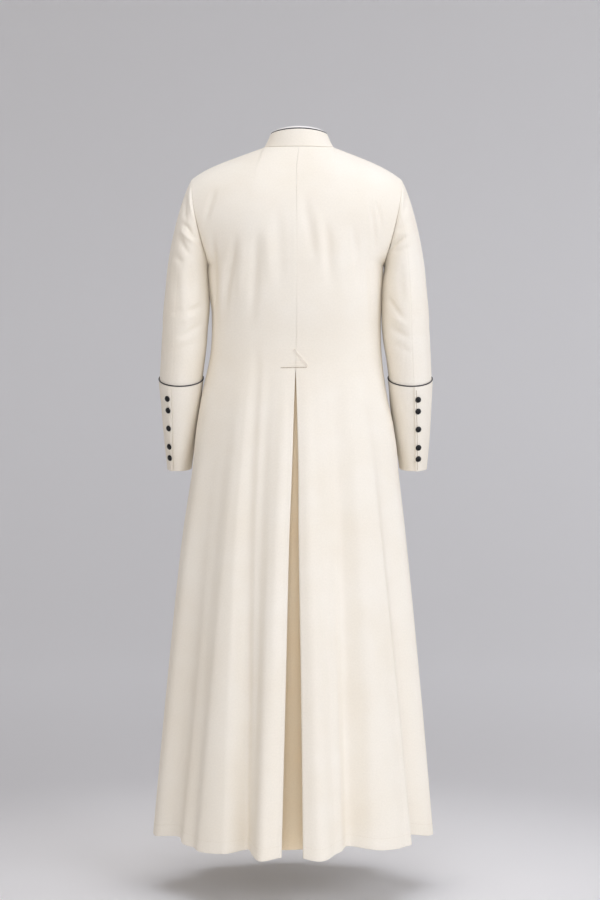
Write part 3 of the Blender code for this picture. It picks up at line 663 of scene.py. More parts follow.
def sleeve_ring(z, angle, side):
    """Points of the sleeve's sections at angles from its outer side towards the back."""
    turn = np.radians(angle + read(SLEEVE_SECTIONS, "twist", z))
    right = side < 0
    half = read(SLEEVE_SECTIONS, "half_right" if right else "half", z)
    x = read(SLEEVE_SECTIONS, "x_right" if right else "x", z) + half * np.cos(turn)
    tilt = np.radians(read(SLEEVE_SECTIONS, "tilt", z))
    deep = read(SLEEVE_SECTIONS, "deep", z) * np.sin(turn)
    y = read(SLEEVE_SECTIONS, "y", z) + deep * np.cos(tilt)
    return np.stack((x, y, z - deep * np.sin(tilt)), axis=-1)


def cap_points(t, angle, side):
    """Points of the sleeve's cap: t runs from the armhole (0) to the first full section (1)."""
    turn = np.radians(angle) + 0.0 * t
    sin = np.sin(turn)
    cos = np.cos(turn)
    depth = np.where(sin > 0, ARMHOLE_BACK, ARMHOLE_FRONT)
    share = (1 - cos) / 2
    start = np.stack((
        SHOULDER_TIP - ARMHOLE_LEAN * share**ARMHOLE_CURVE,
        depth * sin,
        ARMHOLE_TOP + (ARMHOLE_BOTTOM - ARMHOLE_TOP) * share,
    ), axis=-1) + np.array(ARMHOLE_CLEAR)
    end = sleeve_ring(SLEEVE_SECTIONS[0]["z"] + 0.0 * turn, angle, side)
    upper = 0.5 * (1 + cos)
    reach = np.linalg.norm(end - start, axis=-1)[..., None]
    out, down = (u + (t - u) * upper for t, u in zip(CAP_TOP_SLOPE, CAP_UNDER_SLOPE))
    leave = np.stack((out, CAP_SIDE_SLOPE * sin, down), axis=-1) * reach
    arrive = np.array((CAP_END_SLOPE[0], 0.0, CAP_END_SLOPE[1])) * reach
    t = (t + 0.0 * turn)[..., None]
    first = start * (1 + 2 * t) * (1 - t) ** 2 + leave * t * (1 - t) ** 2
    return first + end * t * t * (3 - 2 * t) + arrive * t * t * (t - 1)


def sleeve_points(side, first, last, top=None, bottom=SLEEVE_SECTIONS[-2]["z"]):
    """Points of a sleeve between two steps round it, down from the armhole or from the height top."""
    turn = RIGHT_ARM_TURN if side < 0 else 0
    steps = np.linspace(first, last, round((last - first) * SLEEVE_FINE) + 1)
    angles = ((steps + turn) * 360.0 / SLEEVE_STEPS)[None, :]
    start = SLEEVE_SECTIONS[0]["z"] if top is None else top
    z = np.linspace(start, bottom, round((start - bottom) / SLEEVE_ROW) + 1)[:, None]
    parts = [sleeve_ring(z, angles, side)]
    if top is None:
        t = (np.linspace(0.0, 1.0, CAP_ROWS * CAP_FINE + 1)[:-1, None]) ** CAP_SPACING
        parts.insert(0, cap_points(t, angles, side))
    return np.concatenate(parts) * np.array((side, 1.0, 1.0))


def shell(name, points, normals, thickness, finish, gap=SEAM_REST, centre=0):
    """A closed sheet of cloth with rounded edges. Its outer side is at the points."""
    rows, columns = points.shape[:2]
    beyond = np.zeros_like(points)
    for line, inner in ((np.s_[:, 0], np.s_[:, 1]), (np.s_[:, -1], np.s_[:, -2])):
        beyond[line] += unit(points[line] - points[inner])
    for line, inner in ((np.s_[0], np.s_[1]), (np.s_[-1], np.s_[-2])):
        beyond[line] += unit(points[line] - points[inner])
    outer = points - beyond * (thickness + gap) / 2
    inner = outer - normals * thickness
    count = rows * columns
    rim = list(range(columns)) + [row * columns + columns - 1 for row in range(1, rows)]
    rim += [(rows - 1) * columns + column for column in range(columns - 2, -1, -1)]
    rim += [row * columns for row in range(rows - 2, 0, -1)]
    rim = np.array(rim)
    flat_outer = outer.reshape(-1, 3)
    flat_inner = inner.reshape(-1, 3)
    middle = (flat_outer[rim] + flat_inner[rim]) / 2
    radius = flat_outer[rim] - middle
    reach = unit(beyond.reshape(-1, 3)[rim]) * thickness / 2
    rings = [middle + radius * math.cos(a) + reach * math.sin(a) for a in np.radians((45, 90, 135))]
    vertices = np.concatenate([flat_outer, flat_inner] + rings)
    a = (np.arange(rows - 1)[:, None] * columns + np.arange(columns - 1)[None, :]).ravel()
    outside = np.stack((a, a + columns, a + columns + 1, a + 1), axis=1)
    inside = outside[:, ::-1] + count
    loops = [rim] + [2 * count + i * len(rim) + np.arange(len(rim)) for i in range(3)] + [count + rim]
    sides = []
    for near, far in zip(loops, loops[1:]):
        sides.append(np.stack((near, np.roll(near, -1), np.roll(far, -1), far), axis=1))
    faces = np.concatenate([outside, inside] + sides)
    probe = outside[len(outside) // 2]
    edge_a = vertices[probe[1]] - vertices[probe[0]]
    edge_b = vertices[probe[2]] - vertices[probe[0]]
    if np.cross(edge_a, edge_b) @ normals.reshape(-1, 3)[probe[0]] < 0:
        faces = faces[:, ::-1]
    across = np.concatenate((np.zeros((rows, 1)), np.cumsum(spans(points, 1), axis=1)), axis=1)
    across -= across[:, centre:centre + 1]
    down = np.concatenate(([0.0], np.cumsum(spans(points, 0)[:, centre])))[:, None] + 0.0 * across
    flat = np.stack((across, -down), axis=-1).reshape(-1, 2)
    places = np.concatenate([flat, flat] + [flat[rim]] * 3)
    return mesh_piece(name, vertices.tolist(), faces.tolist(), finish, places)


def spans(points, axis):
    """Lengths of the steps of a grid along one of its two ways."""
    return np.linalg.norm(np.diff(points, axis=axis), axis=-1)


def mesh_piece(name, vertices, faces, finish, places=None):
    """A smooth mesh object with its material and, where places are given, its cut as a UV map in metres."""
    mesh = bpy.data.meshes.new(name)
    mesh.from_pydata(vertices, [], faces)
    if places is not None:
        corners = np.empty(len(mesh.loops), np.int32)
        mesh.loops.foreach_get("vertex_index", corners)
        layer = mesh.uv_layers.new(name="cut")
        layer.data.foreach_set("uv", places[corners].astype(np.float32).ravel())
    mesh.shade_smooth()
    mesh.materials.append(finish)
    return placed(name, mesh)


def placed(name, data):
    """A new object in the scene."""
    made = bpy.data.objects.new(name, data)
    bpy.context.scene.collection.objects.link(made)
    return made


def ring_faces(rings, sides, first=0):
    """Faces between rings of points that follow each other."""
    made = []
    for ring in range(rings - 1):
        for i in range(sides):
            a = first + ring * sides + i
            b = first + ring * sides + (i + 1) % sides
            made.append((a, b, b + sides, a + sides))
    return made


def declare(piece, node, grid=None):
    """Say what a finished piece rides on, and hide the part it stands for. The grid is not used."""
    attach(piece, "root")
    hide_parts(node)
    if grid is None:
        return


def linear(hex_colour):
    """A colour's linear values and alpha, from its sRGB hex."""
    parts = [int(hex_colour[i:i + 2], 16) / 255 for i in (0, 2, 4)]
    return (*[((c + 0.055) / 1.055) ** 2.4 if c > 0.04045 else c / 12.92 for c in parts], 1.0)


def add(tree, kind, inputs=(), **settings):
    """Add a node with its settings, and its inputs as values or as the sockets they come from."""
    node = tree.nodes.new(kind)
    for name, value in settings.items():
        setattr(node, name, value)
    for socket, value in dict(inputs).items():
        if isinstance(value, bpy.types.NodeSocket):
            tree.links.new(value, node.inputs[socket])
        else:
            node.inputs[socket].default_value = value
    return node


def finish(name):
    """A new material, its node tree and its shader."""
    made = bpy.data.materials.new(name)
    made.use_nodes = True
    return made, made.node_tree, made.node_tree.nodes["Principled BSDF"]


def shades(tree, amount, low, high):
    """A node that shades from one colour to another by an amount."""
    tone = add(tree, "ShaderNodeValToRGB", {"Fac": amount})
    tone.color_ramp.elements[0].color = linear(low)
    tone.color_ramp.elements[1].color = linear(high)
    return tone


def surface(tree, shader, colour, height=None, strength=0.0, distance=0.0, **settings):
    """Give a shader its colour, its relief from a height, and its other settings."""
    tree.links.new(colour, shader.inputs["Base Color"])
    if height is not None:
        relief = add(tree, "ShaderNodeBump", {
            "Height": height, "Strength": strength, "Distance": distance,
        })
        tree.links.new(relief.outputs["Normal"], shader.inputs["Normal"])
    for name, value in settings.items():
        shader.inputs[name.replace("_", " ")].default_value = value


def ivory_wool(name, low, high):
    """Barathea of fine ivory wool: matt, softly fuzzy, with a broken twill weave that shows only close up.

    Its threads are 0.5 mm apart. The weave is drawn at 1.2 mm, as fine as the picture can hold.
    """
    made, tree, shader = finish(name)
    pitch = 0.0012
    cut = add(tree, "ShaderNodeUVMap", uv_map="cut")
    weave = []
    for turn in (0.0, 0.5 * math.pi):
        turned = add(tree, "ShaderNodeMapping", {
            "Vector": cut.outputs["UV"], "Rotation": (0.0, 0.0, turn),
        })
        weave.append(add(tree, "ShaderNodeTexWave", {
            "Vector": turned.outputs["Vector"], "Scale": WAVE / pitch, "Distortion": 1.2,
            "Detail": 1.0, "Detail Scale": 0.6,
        }, bands_direction="X"))
    threads = add(tree, "ShaderNodeMath", {
        0: weave[0].outputs["Fac"], 1: weave[1].outputs["Fac"],
    }, operation="MAXIMUM")
    place = add(tree, "ShaderNodeTexCoord")
    shade = add(tree, "ShaderNodeTexNoise", {
        "Vector": place.outputs["Object"], "Scale": 7.0, "Detail": 3.0, "Roughness": 0.55,
    })
    tone = shades(tree, shade.outputs["Fac"], low, high)
    tone.color_ramp.elements[0].position = 0.3
    tone.color_ramp.elements[1].position = 0.7
    slub = add(tree, "ShaderNodeTexNoise", {
        "Vector": cut.outputs["UV"], "Scale": 260.0, "Detail": 2.0, "Roughness": 0.5,
    })
    fleck = add(tree, "ShaderNodeMapRange", {
        "Value": slub.outputs["Fac"],
        "From Min": 0.3, "From Max": 0.7, "To Min": 0.975, "To Max": 1.01,
    })
    colour = add(tree, "ShaderNodeVectorMath", {
        0: tone.outputs["Color"], "Scale": fleck.outputs["Result"],
    }, operation="SCALE")
    relief = add(tree, "ShaderNodeBump", {
        "Height": threads.outputs["Value"], "Strength": 0.35, "Distance": 0.00012,
    })
    nap = add(tree, "ShaderNodeBump", {
        "Height": slub.outputs["Fac"], "Normal": relief.outputs["Normal"],
        "Strength": 0.3, "Distance": 0.0003,
    })
    tree.links.new(nap.outputs["Normal"], shader.inputs["Normal"])
    surface(
        tree, shader, colour.outputs["Vector"], Roughness=0.86, Specular_IOR_Level=0.25,
        Sheen_Weight=0.12, Sheen_Roughness=0.45, Sheen_Tint=linear("FFF6E8"),
    )
    return made


def white_linen():
    """Starched white linen: bright and smooth, with a fine plain weave."""
    made, tree, shader = finish("starched white linen")
    cut = add(tree, "ShaderNodeUVMap", uv_map="cut")
    threads = add(tree, "ShaderNodeTexNoise", {
        "Vector": cut.outputs["UV"], "Scale": 900.0, "Detail": 2.0, "Roughness": 0.6,
    })
    tone = shades(tree, threads.outputs["Fac"], "F4F0E8", "FFFCF6")
    surface(tree, shader, tone.outputs["Color"], threads.outputs["Fac"], 0.3, 0.0001, Roughness=0.6)
    return made


def dark_cord():
    """Twisted rayon piping cord: near black, with a slight silky gloss along its turns."""
    made, tree, shader = finish("twisted rayon cord")
    cut = add(tree, "ShaderNodeUVMap", uv_map="cut")
    turned = add(tree, "ShaderNodeMapping", {
        "Vector": cut.outputs["UV"], "Rotation": (0.0, 0.0, 0.7),
    })
    pitch = 0.0011
    twist = add(tree, "ShaderNodeTexWave", {
        "Vector": turned.outputs["Vector"], "Scale": WAVE / pitch, "Distortion": 0.4,
    })
    tone = shades(tree, twist.outputs["Fac"], "15141A", "2C2B36")
    surface(tree, shader, tone.outputs["Color"], twist.outputs["Fac"], 0.6, 0.0002, Roughness=0.45)
    return made


def black_satin():
    """Buttons covered in black silk satin: a soft sheen on a fine weave pulled over the dome."""
    made, tree, shader = finish("black silk satin")
    place = add(tree, "ShaderNodeTexCoord")
    weave = add(tree, "ShaderNodeTexNoise", {
        "Vector": place.outputs["Object"], "Scale": 1500.0, "Detail": 2.0, "Roughness": 0.5,
    })
    tone = shades(tree, weave.outputs["Fac"], "040405", "0D0D0F")
    surface(
        tree, shader, tone.outputs["Color"], weave.outputs["Fac"], 0.4, 0.0001,
        Roughness=0.34, Specular_IOR_Level=0.35, Sheen_Weight=0.02,
    )
    return made


def ivory_thread(name, low, high):
    """Silk sewing thread: glossier than the cloth, and twisted so that it shades finely from low to high."""
    made, tree, shader = finish(name)
    place = add(tree, "ShaderNodeTexCoord")
    twist = add(tree, "ShaderNodeTexNoise", {
        "Vector": place.outputs["Object"], "Scale": 1200.0, "Detail": 1.0,
    })
    tone = shades(tree, twist.outputs["Fac"], low, high)
    surface(tree, shader, tone.outputs["Color"], Roughness=0.5)
    return made


def studio_paint_with_painted_light():
    """Matt studio sweep whose paint holds painted light and shade: lightest under the garment as a painted
    pool of light, greyest about 1.6 m out, and lighter again as it curves up into the wall.
    """
    made, tree, shader = finish("matt studio paint with painted light and shade")
    place = add(tree, "ShaderNodeTexCoord")
    level = add(tree, "ShaderNodeVectorMath", {
        0: place.outputs["Object"], 1: (1.0, 1.0, 0.0),
    }, operation="MULTIPLY")
    away = add(tree, "ShaderNodeVectorMath", {0: level.outputs["Vector"]}, operation="LENGTH")
    reach = add(tree, "ShaderNodeMapRange", {
        "Value": away.outputs["Value"], "From Min": 0.0, "From Max": STAGE_FLAT + STAGE_BEND,
    })
    mottle = add(tree, "ShaderNodeTexNoise", {
        "Vector": place.outputs["Object"], "Scale": 0.6, "Detail": 3.0,
    })
    mixed = add(tree, "ShaderNodeMath", {
        0: mottle.outputs["Fac"], 1: 0.03, 2: reach.outputs["Result"],
    }, operation="MULTIPLY_ADD")
    # The ramp by distance from the middle paints light and shade: a pool of light under the garment, a
    # greyer ring round it, lighter up the wall. The faint mottle is the paint's own
    tone = shades(tree, mixed.outputs["Value"], "F4F2F0", "D5D3D2")
    painted_light_ramp = tone.color_ramp
    painted_light_ramp.interpolation = "EASE"
    painted_light_ramp.elements[0].position = 0.05
    painted_light_ramp.elements[1].position = 0.16
    painted_light_ramp.elements.new(0.40).color = linear("E7E6E6")
    painted_light_ramp.elements.new(0.85).color = linear("F9F9FA")
    surface(tree, shader, tone.outputs["Color"], Roughness=0.9)
    return made


def stitch_tree():
    """Stitches along a path: each a short rounded thread that lies on the cloth."""
    tree = bpy.data.node_groups.new("stitches along a path", "GeometryNodeTree")
    tree.interface.new_socket("Path", in_out="INPUT", socket_type="NodeSocketGeometry")
    sizes = (("Spacing", 0.0036), ("Stitch length", 0.0028), ("Thread width", 0.0006), ("Slant", 0.0))
    for name, value in sizes:
        socket = tree.interface.new_socket(name, in_out="INPUT", socket_type="NodeSocketFloat")
        socket.default_value = value
    tree.interface.new_socket("Seed", in_out="INPUT", socket_type="NodeSocketInt").default_value = 7
    tree.interface.new_socket("Thread", in_out="INPUT", socket_type="NodeSocketMaterial")
    tree.interface.new_socket("Stitches", in_out="OUTPUT", socket_type="NodeSocketGeometry")
    given = add(tree, "NodeGroupInput").outputs
    curve = add(tree, "GeometryNodeMeshToCurve", {"Mesh": given["Path"]})
    places = add(tree, "GeometryNodeResampleCurve", {
        "Curve": curve.outputs["Curve"], "Length": given["Spacing"],
    }, mode="LENGTH")
    ball = add(tree, "GeometryNodeMeshUVSphere", {"Segments": 6, "Rings": 4, "Radius": 0.5})
    size = add(tree, "ShaderNodeCombineXYZ", {
        "X": given["Stitch length"], "Y": given["Thread width"], "Z": given["Thread width"],
    })
    thread = add(tree, "GeometryNodeTransform", {
        "Geometry": ball.outputs["Mesh"], "Scale": size.outputs["Vector"],
    })
    soft = add(tree, "GeometryNodeSetShadeSmooth", {"Geometry": thread.outputs["Geometry"]})
    tangent = add(tree, "GeometryNodeInputTangent")
    away = add(tree, "GeometryNodeInputNamedAttribute", {"Name": "away"}, data_type="FLOAT_VECTOR")
    along = add(tree, "FunctionNodeAlignRotationToVector", {"Vector": tangent.outputs["Tangent"]}, axis="X")
    upright = add(tree, "FunctionNodeAlignRotationToVector", {
        "Rotation": along.outputs["Rotation"], "Vector": away.outputs["Attribute"],
    }, axis="Z", pivot_axis="X")
    slant = add(tree, "FunctionNodeAxisAngleToRotation", {"Axis": (0.0, 0.0, 1.0), "Angle": given["Slant"]})
    turned = add(tree, "FunctionNodeRotateRotation", {
        "Rotation": upright.outputs["Rotation"], "Rotate By": slant.outputs["Rotation"],
    }, rotation_space="LOCAL")
    uneven = add(tree, "FunctionNodeRandomValue", {
        0: (0.88, 0.88, 0.88), 1: (1.08, 1.08, 1.08), "Seed": given["Seed"],
    }, data_type="FLOAT_VECTOR")
    sewn = add(tree, "GeometryNodeInstanceOnPoints", {
        "Points": places.outputs["Curve"], "Instance": soft.outputs["Geometry"],
        "Rotation": turned.outputs["Rotation"], "Scale": uneven.outputs["Value"],
    })
    real = add(tree, "GeometryNodeRealizeInstances", {"Geometry": sewn.outputs["Instances"]})
    done = add(tree, "GeometryNodeSetMaterial", {
        "Geometry": real.outputs["Geometry"], "Material": given["Thread"],
    })
    add(tree, "NodeGroupOutput", {"Stitches": done.outputs["Geometry"]})
    return tree


def sew(name, paths, thread, **sizes):
    """Run stitches along paths of places and directions, and leave them as one plain mesh."""
    points = np.concatenate([p for p, _ in paths])
    away = np.concatenate([n for _, n in paths])
    edges = []
    first = 0
    for path, _ in paths:
        edges += [(first + i, first + i + 1) for i in range(len(path) - 1)]
        first += len(path)
    mesh = bpy.data.meshes.new(name)
    mesh.from_pydata(points.tolist(), edges, [])
    stored = mesh.attributes.new("away", "FLOAT_VECTOR", "POINT")
    stored.data.foreach_set("vector", away.astype(np.float32).ravel())
    line = placed(name + "_line", mesh)
    tree = bpy.data.node_groups.get("stitches along a path") or stitch_tree()
    modifier = line.modifiers.new("stitches", "NODES")
    modifier.node_group = tree
    for socket in tree.interface.items_tree:
        if socket.in_out == "INPUT" and socket.name in sizes:
            modifier[socket.identifier] = sizes[socket.name]
        if socket.in_out == "INPUT" and socket.name == "Thread":
            modifier[socket.identifier] = thread
    bpy.context.view_layer.update()
    depsgraph = bpy.context.evaluated_depsgraph_get()
    made = bpy.data.meshes.new_from_object(line.evaluated_get(depsgraph))
    bpy.data.objects.remove(line)
    piece = placed(name, made)
    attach(piece, "root")


def tube(name, path, radius, finish, sides=12):
    """A round cord along a path whose last place joins its first."""
    path = np.asarray(path)
    tangent = unit(np.roll(path, -1, axis=0) - np.roll(path, 1, axis=0))
    hub = path.mean(axis=0)
    first = unit(np.cross(tangent, np.cross(path - hub, tangent)))
    second = np.cross(tangent, first)
    turns = np.linspace(0.0, 2 * math.pi, sides, endpoint=False)
    rings = [path + radius * (first * math.cos(t) + second * math.sin(t)) for t in turns]
    vertices = np.stack(rings, axis=1)
    count = len(path)
    faces = []
    for i in range(count):
        for j in range(sides):
            k = (j + 1) % sides
            n = (i + 1) % count
            faces.append((i * sides + j, i * sides + k, n * sides + k, n * sides + j))
    flat = vertices.reshape(-1, 3)
    probe = faces[0]
    normal = np.cross(flat[probe[1]] - flat[probe[0]], flat[probe[2]] - flat[probe[0]])
    if normal @ (flat[probe[0]] - path[0]) < 0:
        faces = [face[::-1] for face in faces]
    length = np.cumsum(np.linalg.norm(path - np.roll(path, 1, axis=0), axis=1))
    round_it = radius * turns + 0.0 * length[:, None]
    places = np.stack((length[:, None] + 0.0 * turns, round_it), axis=-1)
    return mesh_piece(name, flat.tolist(), faces, finish, places.reshape(-1, 2))


def button(name, node, seat, direction, satin):
    """A covered button: a full dome over a tucked-in rim, on a short shank."""
    turns = np.linspace(0.0, 2 * math.pi, BUTTON_SIDES, endpoint=False)
    rings = []
    for share, up in BUTTON_PROFILE:
        tuck = 1.0 + BUTTON_TUCK_DEPTH * np.cos(BUTTON_TUCKS * turns) * (1 - up) ** 2
        radius = BUTTON_RADIUS * share * tuck
        z = 0 * turns + BUTTON_HEIGHT * up
        rings.append(np.stack((radius * np.cos(turns), radius * np.sin(turns), z), 1))
    points = np.concatenate(rings + [np.array([[0.0, 0.0, BUTTON_HEIGHT]])])
    faces = [tuple(range(BUTTON_SIDES))[::-1]] + ring_faces(len(rings), BUTTON_SIDES)
    last = (len(rings) - 1) * BUTTON_SIDES
    for i in range(BUTTON_SIDES):
        faces.append((last + i, last + (i + 1) % BUTTON_SIDES, len(points) - 1))
    away = Vector(direction).normalized()
    turn = away.to_track_quat("Z", "Y")
    places = [tuple(turn @ Vector(p) + Vector(seat) + away * BUTTON_SEAT) for p in points]
    declare(mesh_piece(name, places, faces, satin), node)


def at_height(line, away, z):
    """Place and direction on a line of points that runs down, at height z."""
    i = int(np.argmax(line[:, 2] <= z))
    t = (line[i - 1, 2] - z) / (line[i - 1, 2] - line[i, 2])
    return line[i - 1] + (line[i] - line[i - 1]) * t, unit(away[i - 1] + (away[i] - away[i - 1]) * t)


def inside_edge(grid, normals, axis, end, distance):
    """The line on a grid that runs at a distance from one of its borders."""
    lines = np.moveaxis(grid, axis, 0)
    away = np.moveaxis(normals, axis, 0)
    if end:
        lines = lines[::-1]
        away = away[::-1]
    along = np.concatenate((np.zeros((1, lines.shape[1])), np.cumsum(spans(lines, 0), axis=0)))
    places = []
    outs = []
    for i in range(lines.shape[1]):
        places.append([np.interp(distance, along[:, i], lines[:, i, k]) for k in range(3)])
        outs.append([np.interp(distance, along[:, i], away[:, i, k]) for k in range(3)])
    outs = unit(np.array(outs))
    return np.array(places) + outs * THREAD_LIFT, outs


def creased(grid, away, creases):
    """A grid with its creases drawn in along its directions."""
    return grid - away * crease_depth(grid, away, creases)[..., None]


def body(cloth, deep, satin, thread, pale, drab_shadow_thread):
    """The two backs, the two fronts, the pleat's underlay, and the buttons and stitching of the front."""
    backs = {side: back_points(side) for side in (1, -1)}
    fronts = {side: front_points(side) for side in (1, -1)}
    back_away = {side: directions(backs[side], BODY_HUB) for side in (1, -1)}
    front_away = {side: directions(fronts[side], BODY_HUB) for side in (1, -1)}
    inner = FLAP_COLUMNS + ROLL_STEPS + 1
    neck = NECK_COLUMNS * PANEL_FINE
    yoke = YOKE_ROWS * YOKE_FINE
    for side in (1, -1):
        shared(back_away[side][0, inner - 1 + neck:], front_away[side][0, OVERLAP_COLUMNS + neck:])
        shared(back_away[side][yoke:, -1], front_away[side][yoke:, -1])
    for side, word in ((1, "left"), (-1, "right")):
        back_cut = backs[side]
        front_cut = fronts[side]
        backs[side] = creased(back_cut, back_away[side], BODY_CREASES)
        fronts[side] = creased(front_cut, front_away[side], BODY_CREASES)
        if side < 0:
            past = fronts[side][..., 0] - sway(fronts[side][..., 2]) + OVERLAP + OVERLAP_EASE
            fronts[side] -= front_away[side] * (OVERLAP_STEP * smooth(past / OVERLAP_EASE))[..., None]
        piece = shell(f"back_panel_{word}", backs[side], back_away[side], THIN, cloth, centre=inner)
        declare(piece, f"back_{word}", back_cut)
        piece = shell(
            f"front_panel_{word}", fronts[side], front_away[side], THIN, cloth, centre=OVERLAP_COLUMNS)
        declare(piece, f"front_{word}", front_cut)
    low = backs[1][:, 0, 2] < TACK_Z - PLEAT_TOP
    left_end = backs[1][low, 0]
    right_end = backs[-1][low, 0]
    across = np.linspace(0.0, 1.0, UNDERLAY_COLUMNS + 1)
    strip = np.stack([right_end + (left_end - right_end) * t for t in across], axis=1)
    away = directions(strip, PLEAT_HUB)
    over = np.sin(math.pi * across**UNDERLAY_LEAN)[None, :, None]
    strip += away * (UNDERLAY_ROUND * pleat_share(strip[..., 2:]) * over - SEAM_GAP)
    # The underlay's cloth, deep, is the same wool with warm bounce light painted into its colour
    piece = shell("pleat_underlay", strip, away, THIN, deep, centre=UNDERLAY_COLUMNS // 2)
    declare(piece, "back_pleat", strip)

    hem = []
    for side in (1, -1):
        halves = ((backs[side], back_away[side], inner), (fronts[side], front_away[side], 1))
        for grid, away, first in halves:
            hem.append(inside_edge(grid[:, first:-1], away[:, first:-1], 0, True, HEM_STITCH))
    sew("hem_stitches", hem, thread)
    edge, outs = inside_edge(fronts[1], front_away[1], 1, False, FRONT_STITCH)
    sew("front_edge_stitches", [(edge[2:-6], outs[2:-6])], thread)
    tack_stitches(backs, back_away, drab_shadow_thread, pale)

    line = fronts[1][:, OVERLAP_COLUMNS]
    outs = front_away[1][:, OVERLAP_COLUMNS]
    holes = []
    for number in range(FRONT_BUTTONS):
        z = FRONT_BUTTON_TOP + (FRONT_BUTTON_END - FRONT_BUTTON_TOP) * number / (FRONT_BUTTONS - 1)
        seat, direction = at_height(line, outs, z)
        name = f"button_{number + 1:02d}"
        button(f"covered_{name}", f"front_{name}", seat, direction, satin)
        ahead = unit(np.cross(direction, (0.0, 0.0, 1.0)))
        for step in (-BUTTONHOLE_EDGE, BUTTONHOLE_EDGE):
            edge = np.array((0.0, 0.0, step))
            bar = [seat + ahead * s + edge + direction * THREAD_LIFT for s in BUTTONHOLE]
            holes.append((np.array(bar), np.array([direction, direction])))
    sew("buttonhole_stitches", holes, thread, **{
        "Spacing": 0.0007, "Stitch length": 0.0015, "Thread width": 0.0005, "Slant": 0.5 * math.pi,
    })


def tack_stitches(backs, away, drab_shadow_thread, pale):
    """The triangle sewn over the top of the pleat: its base, short bars above it and its raised slant."""
    drawn = (
        # The base is stitched in drab thread, darker than the cloth, so that it paints the grey shadow line
        # along the tack's base
        ("tack_base", TACK_BASE, drab_shadow_thread, 0.0003, (0.0024, 0.0028, 0.0018)),
        # The bars and slant are stitching in pale thread, lighter than the cloth, so that they paint the
        # light their raised threads catch
        ("tack_bars", TACK_BARS, pale, 0.0003, (0.0022, 0.0026, 0.0012)),
        ("tack_slant", TACK_SLANT, pale, 0.0004, (0.0014, 0.0030, 0.0014)),
    )
    for name, lines, colour, lift, (spacing, length, width) in drawn:
        paths = []
        for (x0, z0), (x1, z1) in lines:
            places = []
            outs = []
            for t in np.linspace(0.0, 1.0, TACK_PLACES):
                x = (x0 + (x1 - x0) * t) / 1000
                z = (z0 + (z1 - z0) * t) / 1000
                side = 1 if x > sway(z) else -1
                grid = backs[side][:, FLAP_COLUMNS + ROLL_STEPS:]
                off = np.hypot(grid[..., 0] - x, grid[..., 2] - z)
                near = np.unravel_index(np.argmin(off), grid.shape[:2])
                out = away[side][:, FLAP_COLUMNS + ROLL_STEPS:][near]
                place = grid[near]
                y = place[1] - ((x - place[0]) * out[0] + (z - place[2]) * out[2]) / out[1]
                places.append((x, y, z))
                outs.append(out)
            outs = np.array(outs)
            paths.append((np.array(places) + outs * lift, outs))
        sew(name, paths, colour, **{
            "Spacing": spacing, "Stitch length": length, "Thread width": width,
        })


def collar_points(angle, share):
    """Points of the collar's outer side: share 0 at the neckline, 1 at its top edge."""
    turn = np.radians(angle)
    cos = np.cos(turn)
    fore = np.maximum(-cos, 0.0)
    aft = np.maximum(cos, 0.0)
    low_y = np.where(cos > 0, NECK_BACK, NECK_FRONT) * cos
    high_y = np.where(cos > 0, COLLAR_TOP_BACK, COLLAR_TOP_FRONT) * cos
    low_z = -NECK_BACK_DROP * aft**NECK_DROP_CURVE - NECK_FRONT_DROP * fore**NECK_DROP_CURVE
    high_z = COLLAR_SIDE_Z + COLLAR_BACK_RISE * aft**2 - COLLAR_FRONT_FALL * fore**COLLAR_FALL_CURVE
    lean = share**COLLAR_LEAN_CURVE
    z = low_z + (high_z - low_z) * share
    x = (NECK_HALF_WIDTH + (COLLAR_TOP_HALF_WIDTH - NECK_HALF_WIDTH) * lean) * np.sin(turn)
    return np.stack((x + sway(z), low_y + (high_y - low_y) * lean, z), axis=-1)


def collar(cloth, linen, cord):
    """The standing collar, the cord on its top edge and the white band inside it."""
    end = math.degrees(0.5 * COLLAR_END_GAP / NECK_FRONT)
    angles = np.linspace(-180 + end, 180 - end, 4 * NECK_COLUMNS * COLLAR_FINE + 1)[None, :]
    grid = collar_points(angles, np.linspace(1.0, 0.0, COLLAR_ROWS + 1)[:, None])
    away = directions(grid, COLLAR_HUB)
    raised = grid + np.array((0.0, 0.0, SEAM_GAP))
    middle = grid.shape[1] // 2
    thickness = COLLAR_CLOTH - COLLAR_EASE
    piece = shell("collar_stand", raised, away, thickness, cloth, gap=2 * SEAM_GAP, centre=middle)
    declare(piece, "collar", raised)
    up = unit(grid[0] - grid[1])
    path = grid[0] - away[0] * (0.5 * COLLAR_CLOTH) + up * (PIPING_RADIUS + SEAM_GAP)
    piece = tube("collar_cord", path, PIPING_RADIUS, cord)
    declare(piece, "collar_piping")
    heights = np.linspace(INSERT_ABOVE, -INSERT_BELOW, INSERT_ROWS + 1)[:, None, None]
    band = grid[0] - away[0] * (COLLAR_CLOTH + 2 * SEAM_GAP) + up * heights
    band_away = directions(band, COLLAR_HUB)
    piece = shell("collar_band", band, band_away, INSERT_CLOTH, linen, centre=middle)
    declare(piece, "collar_insert", band)


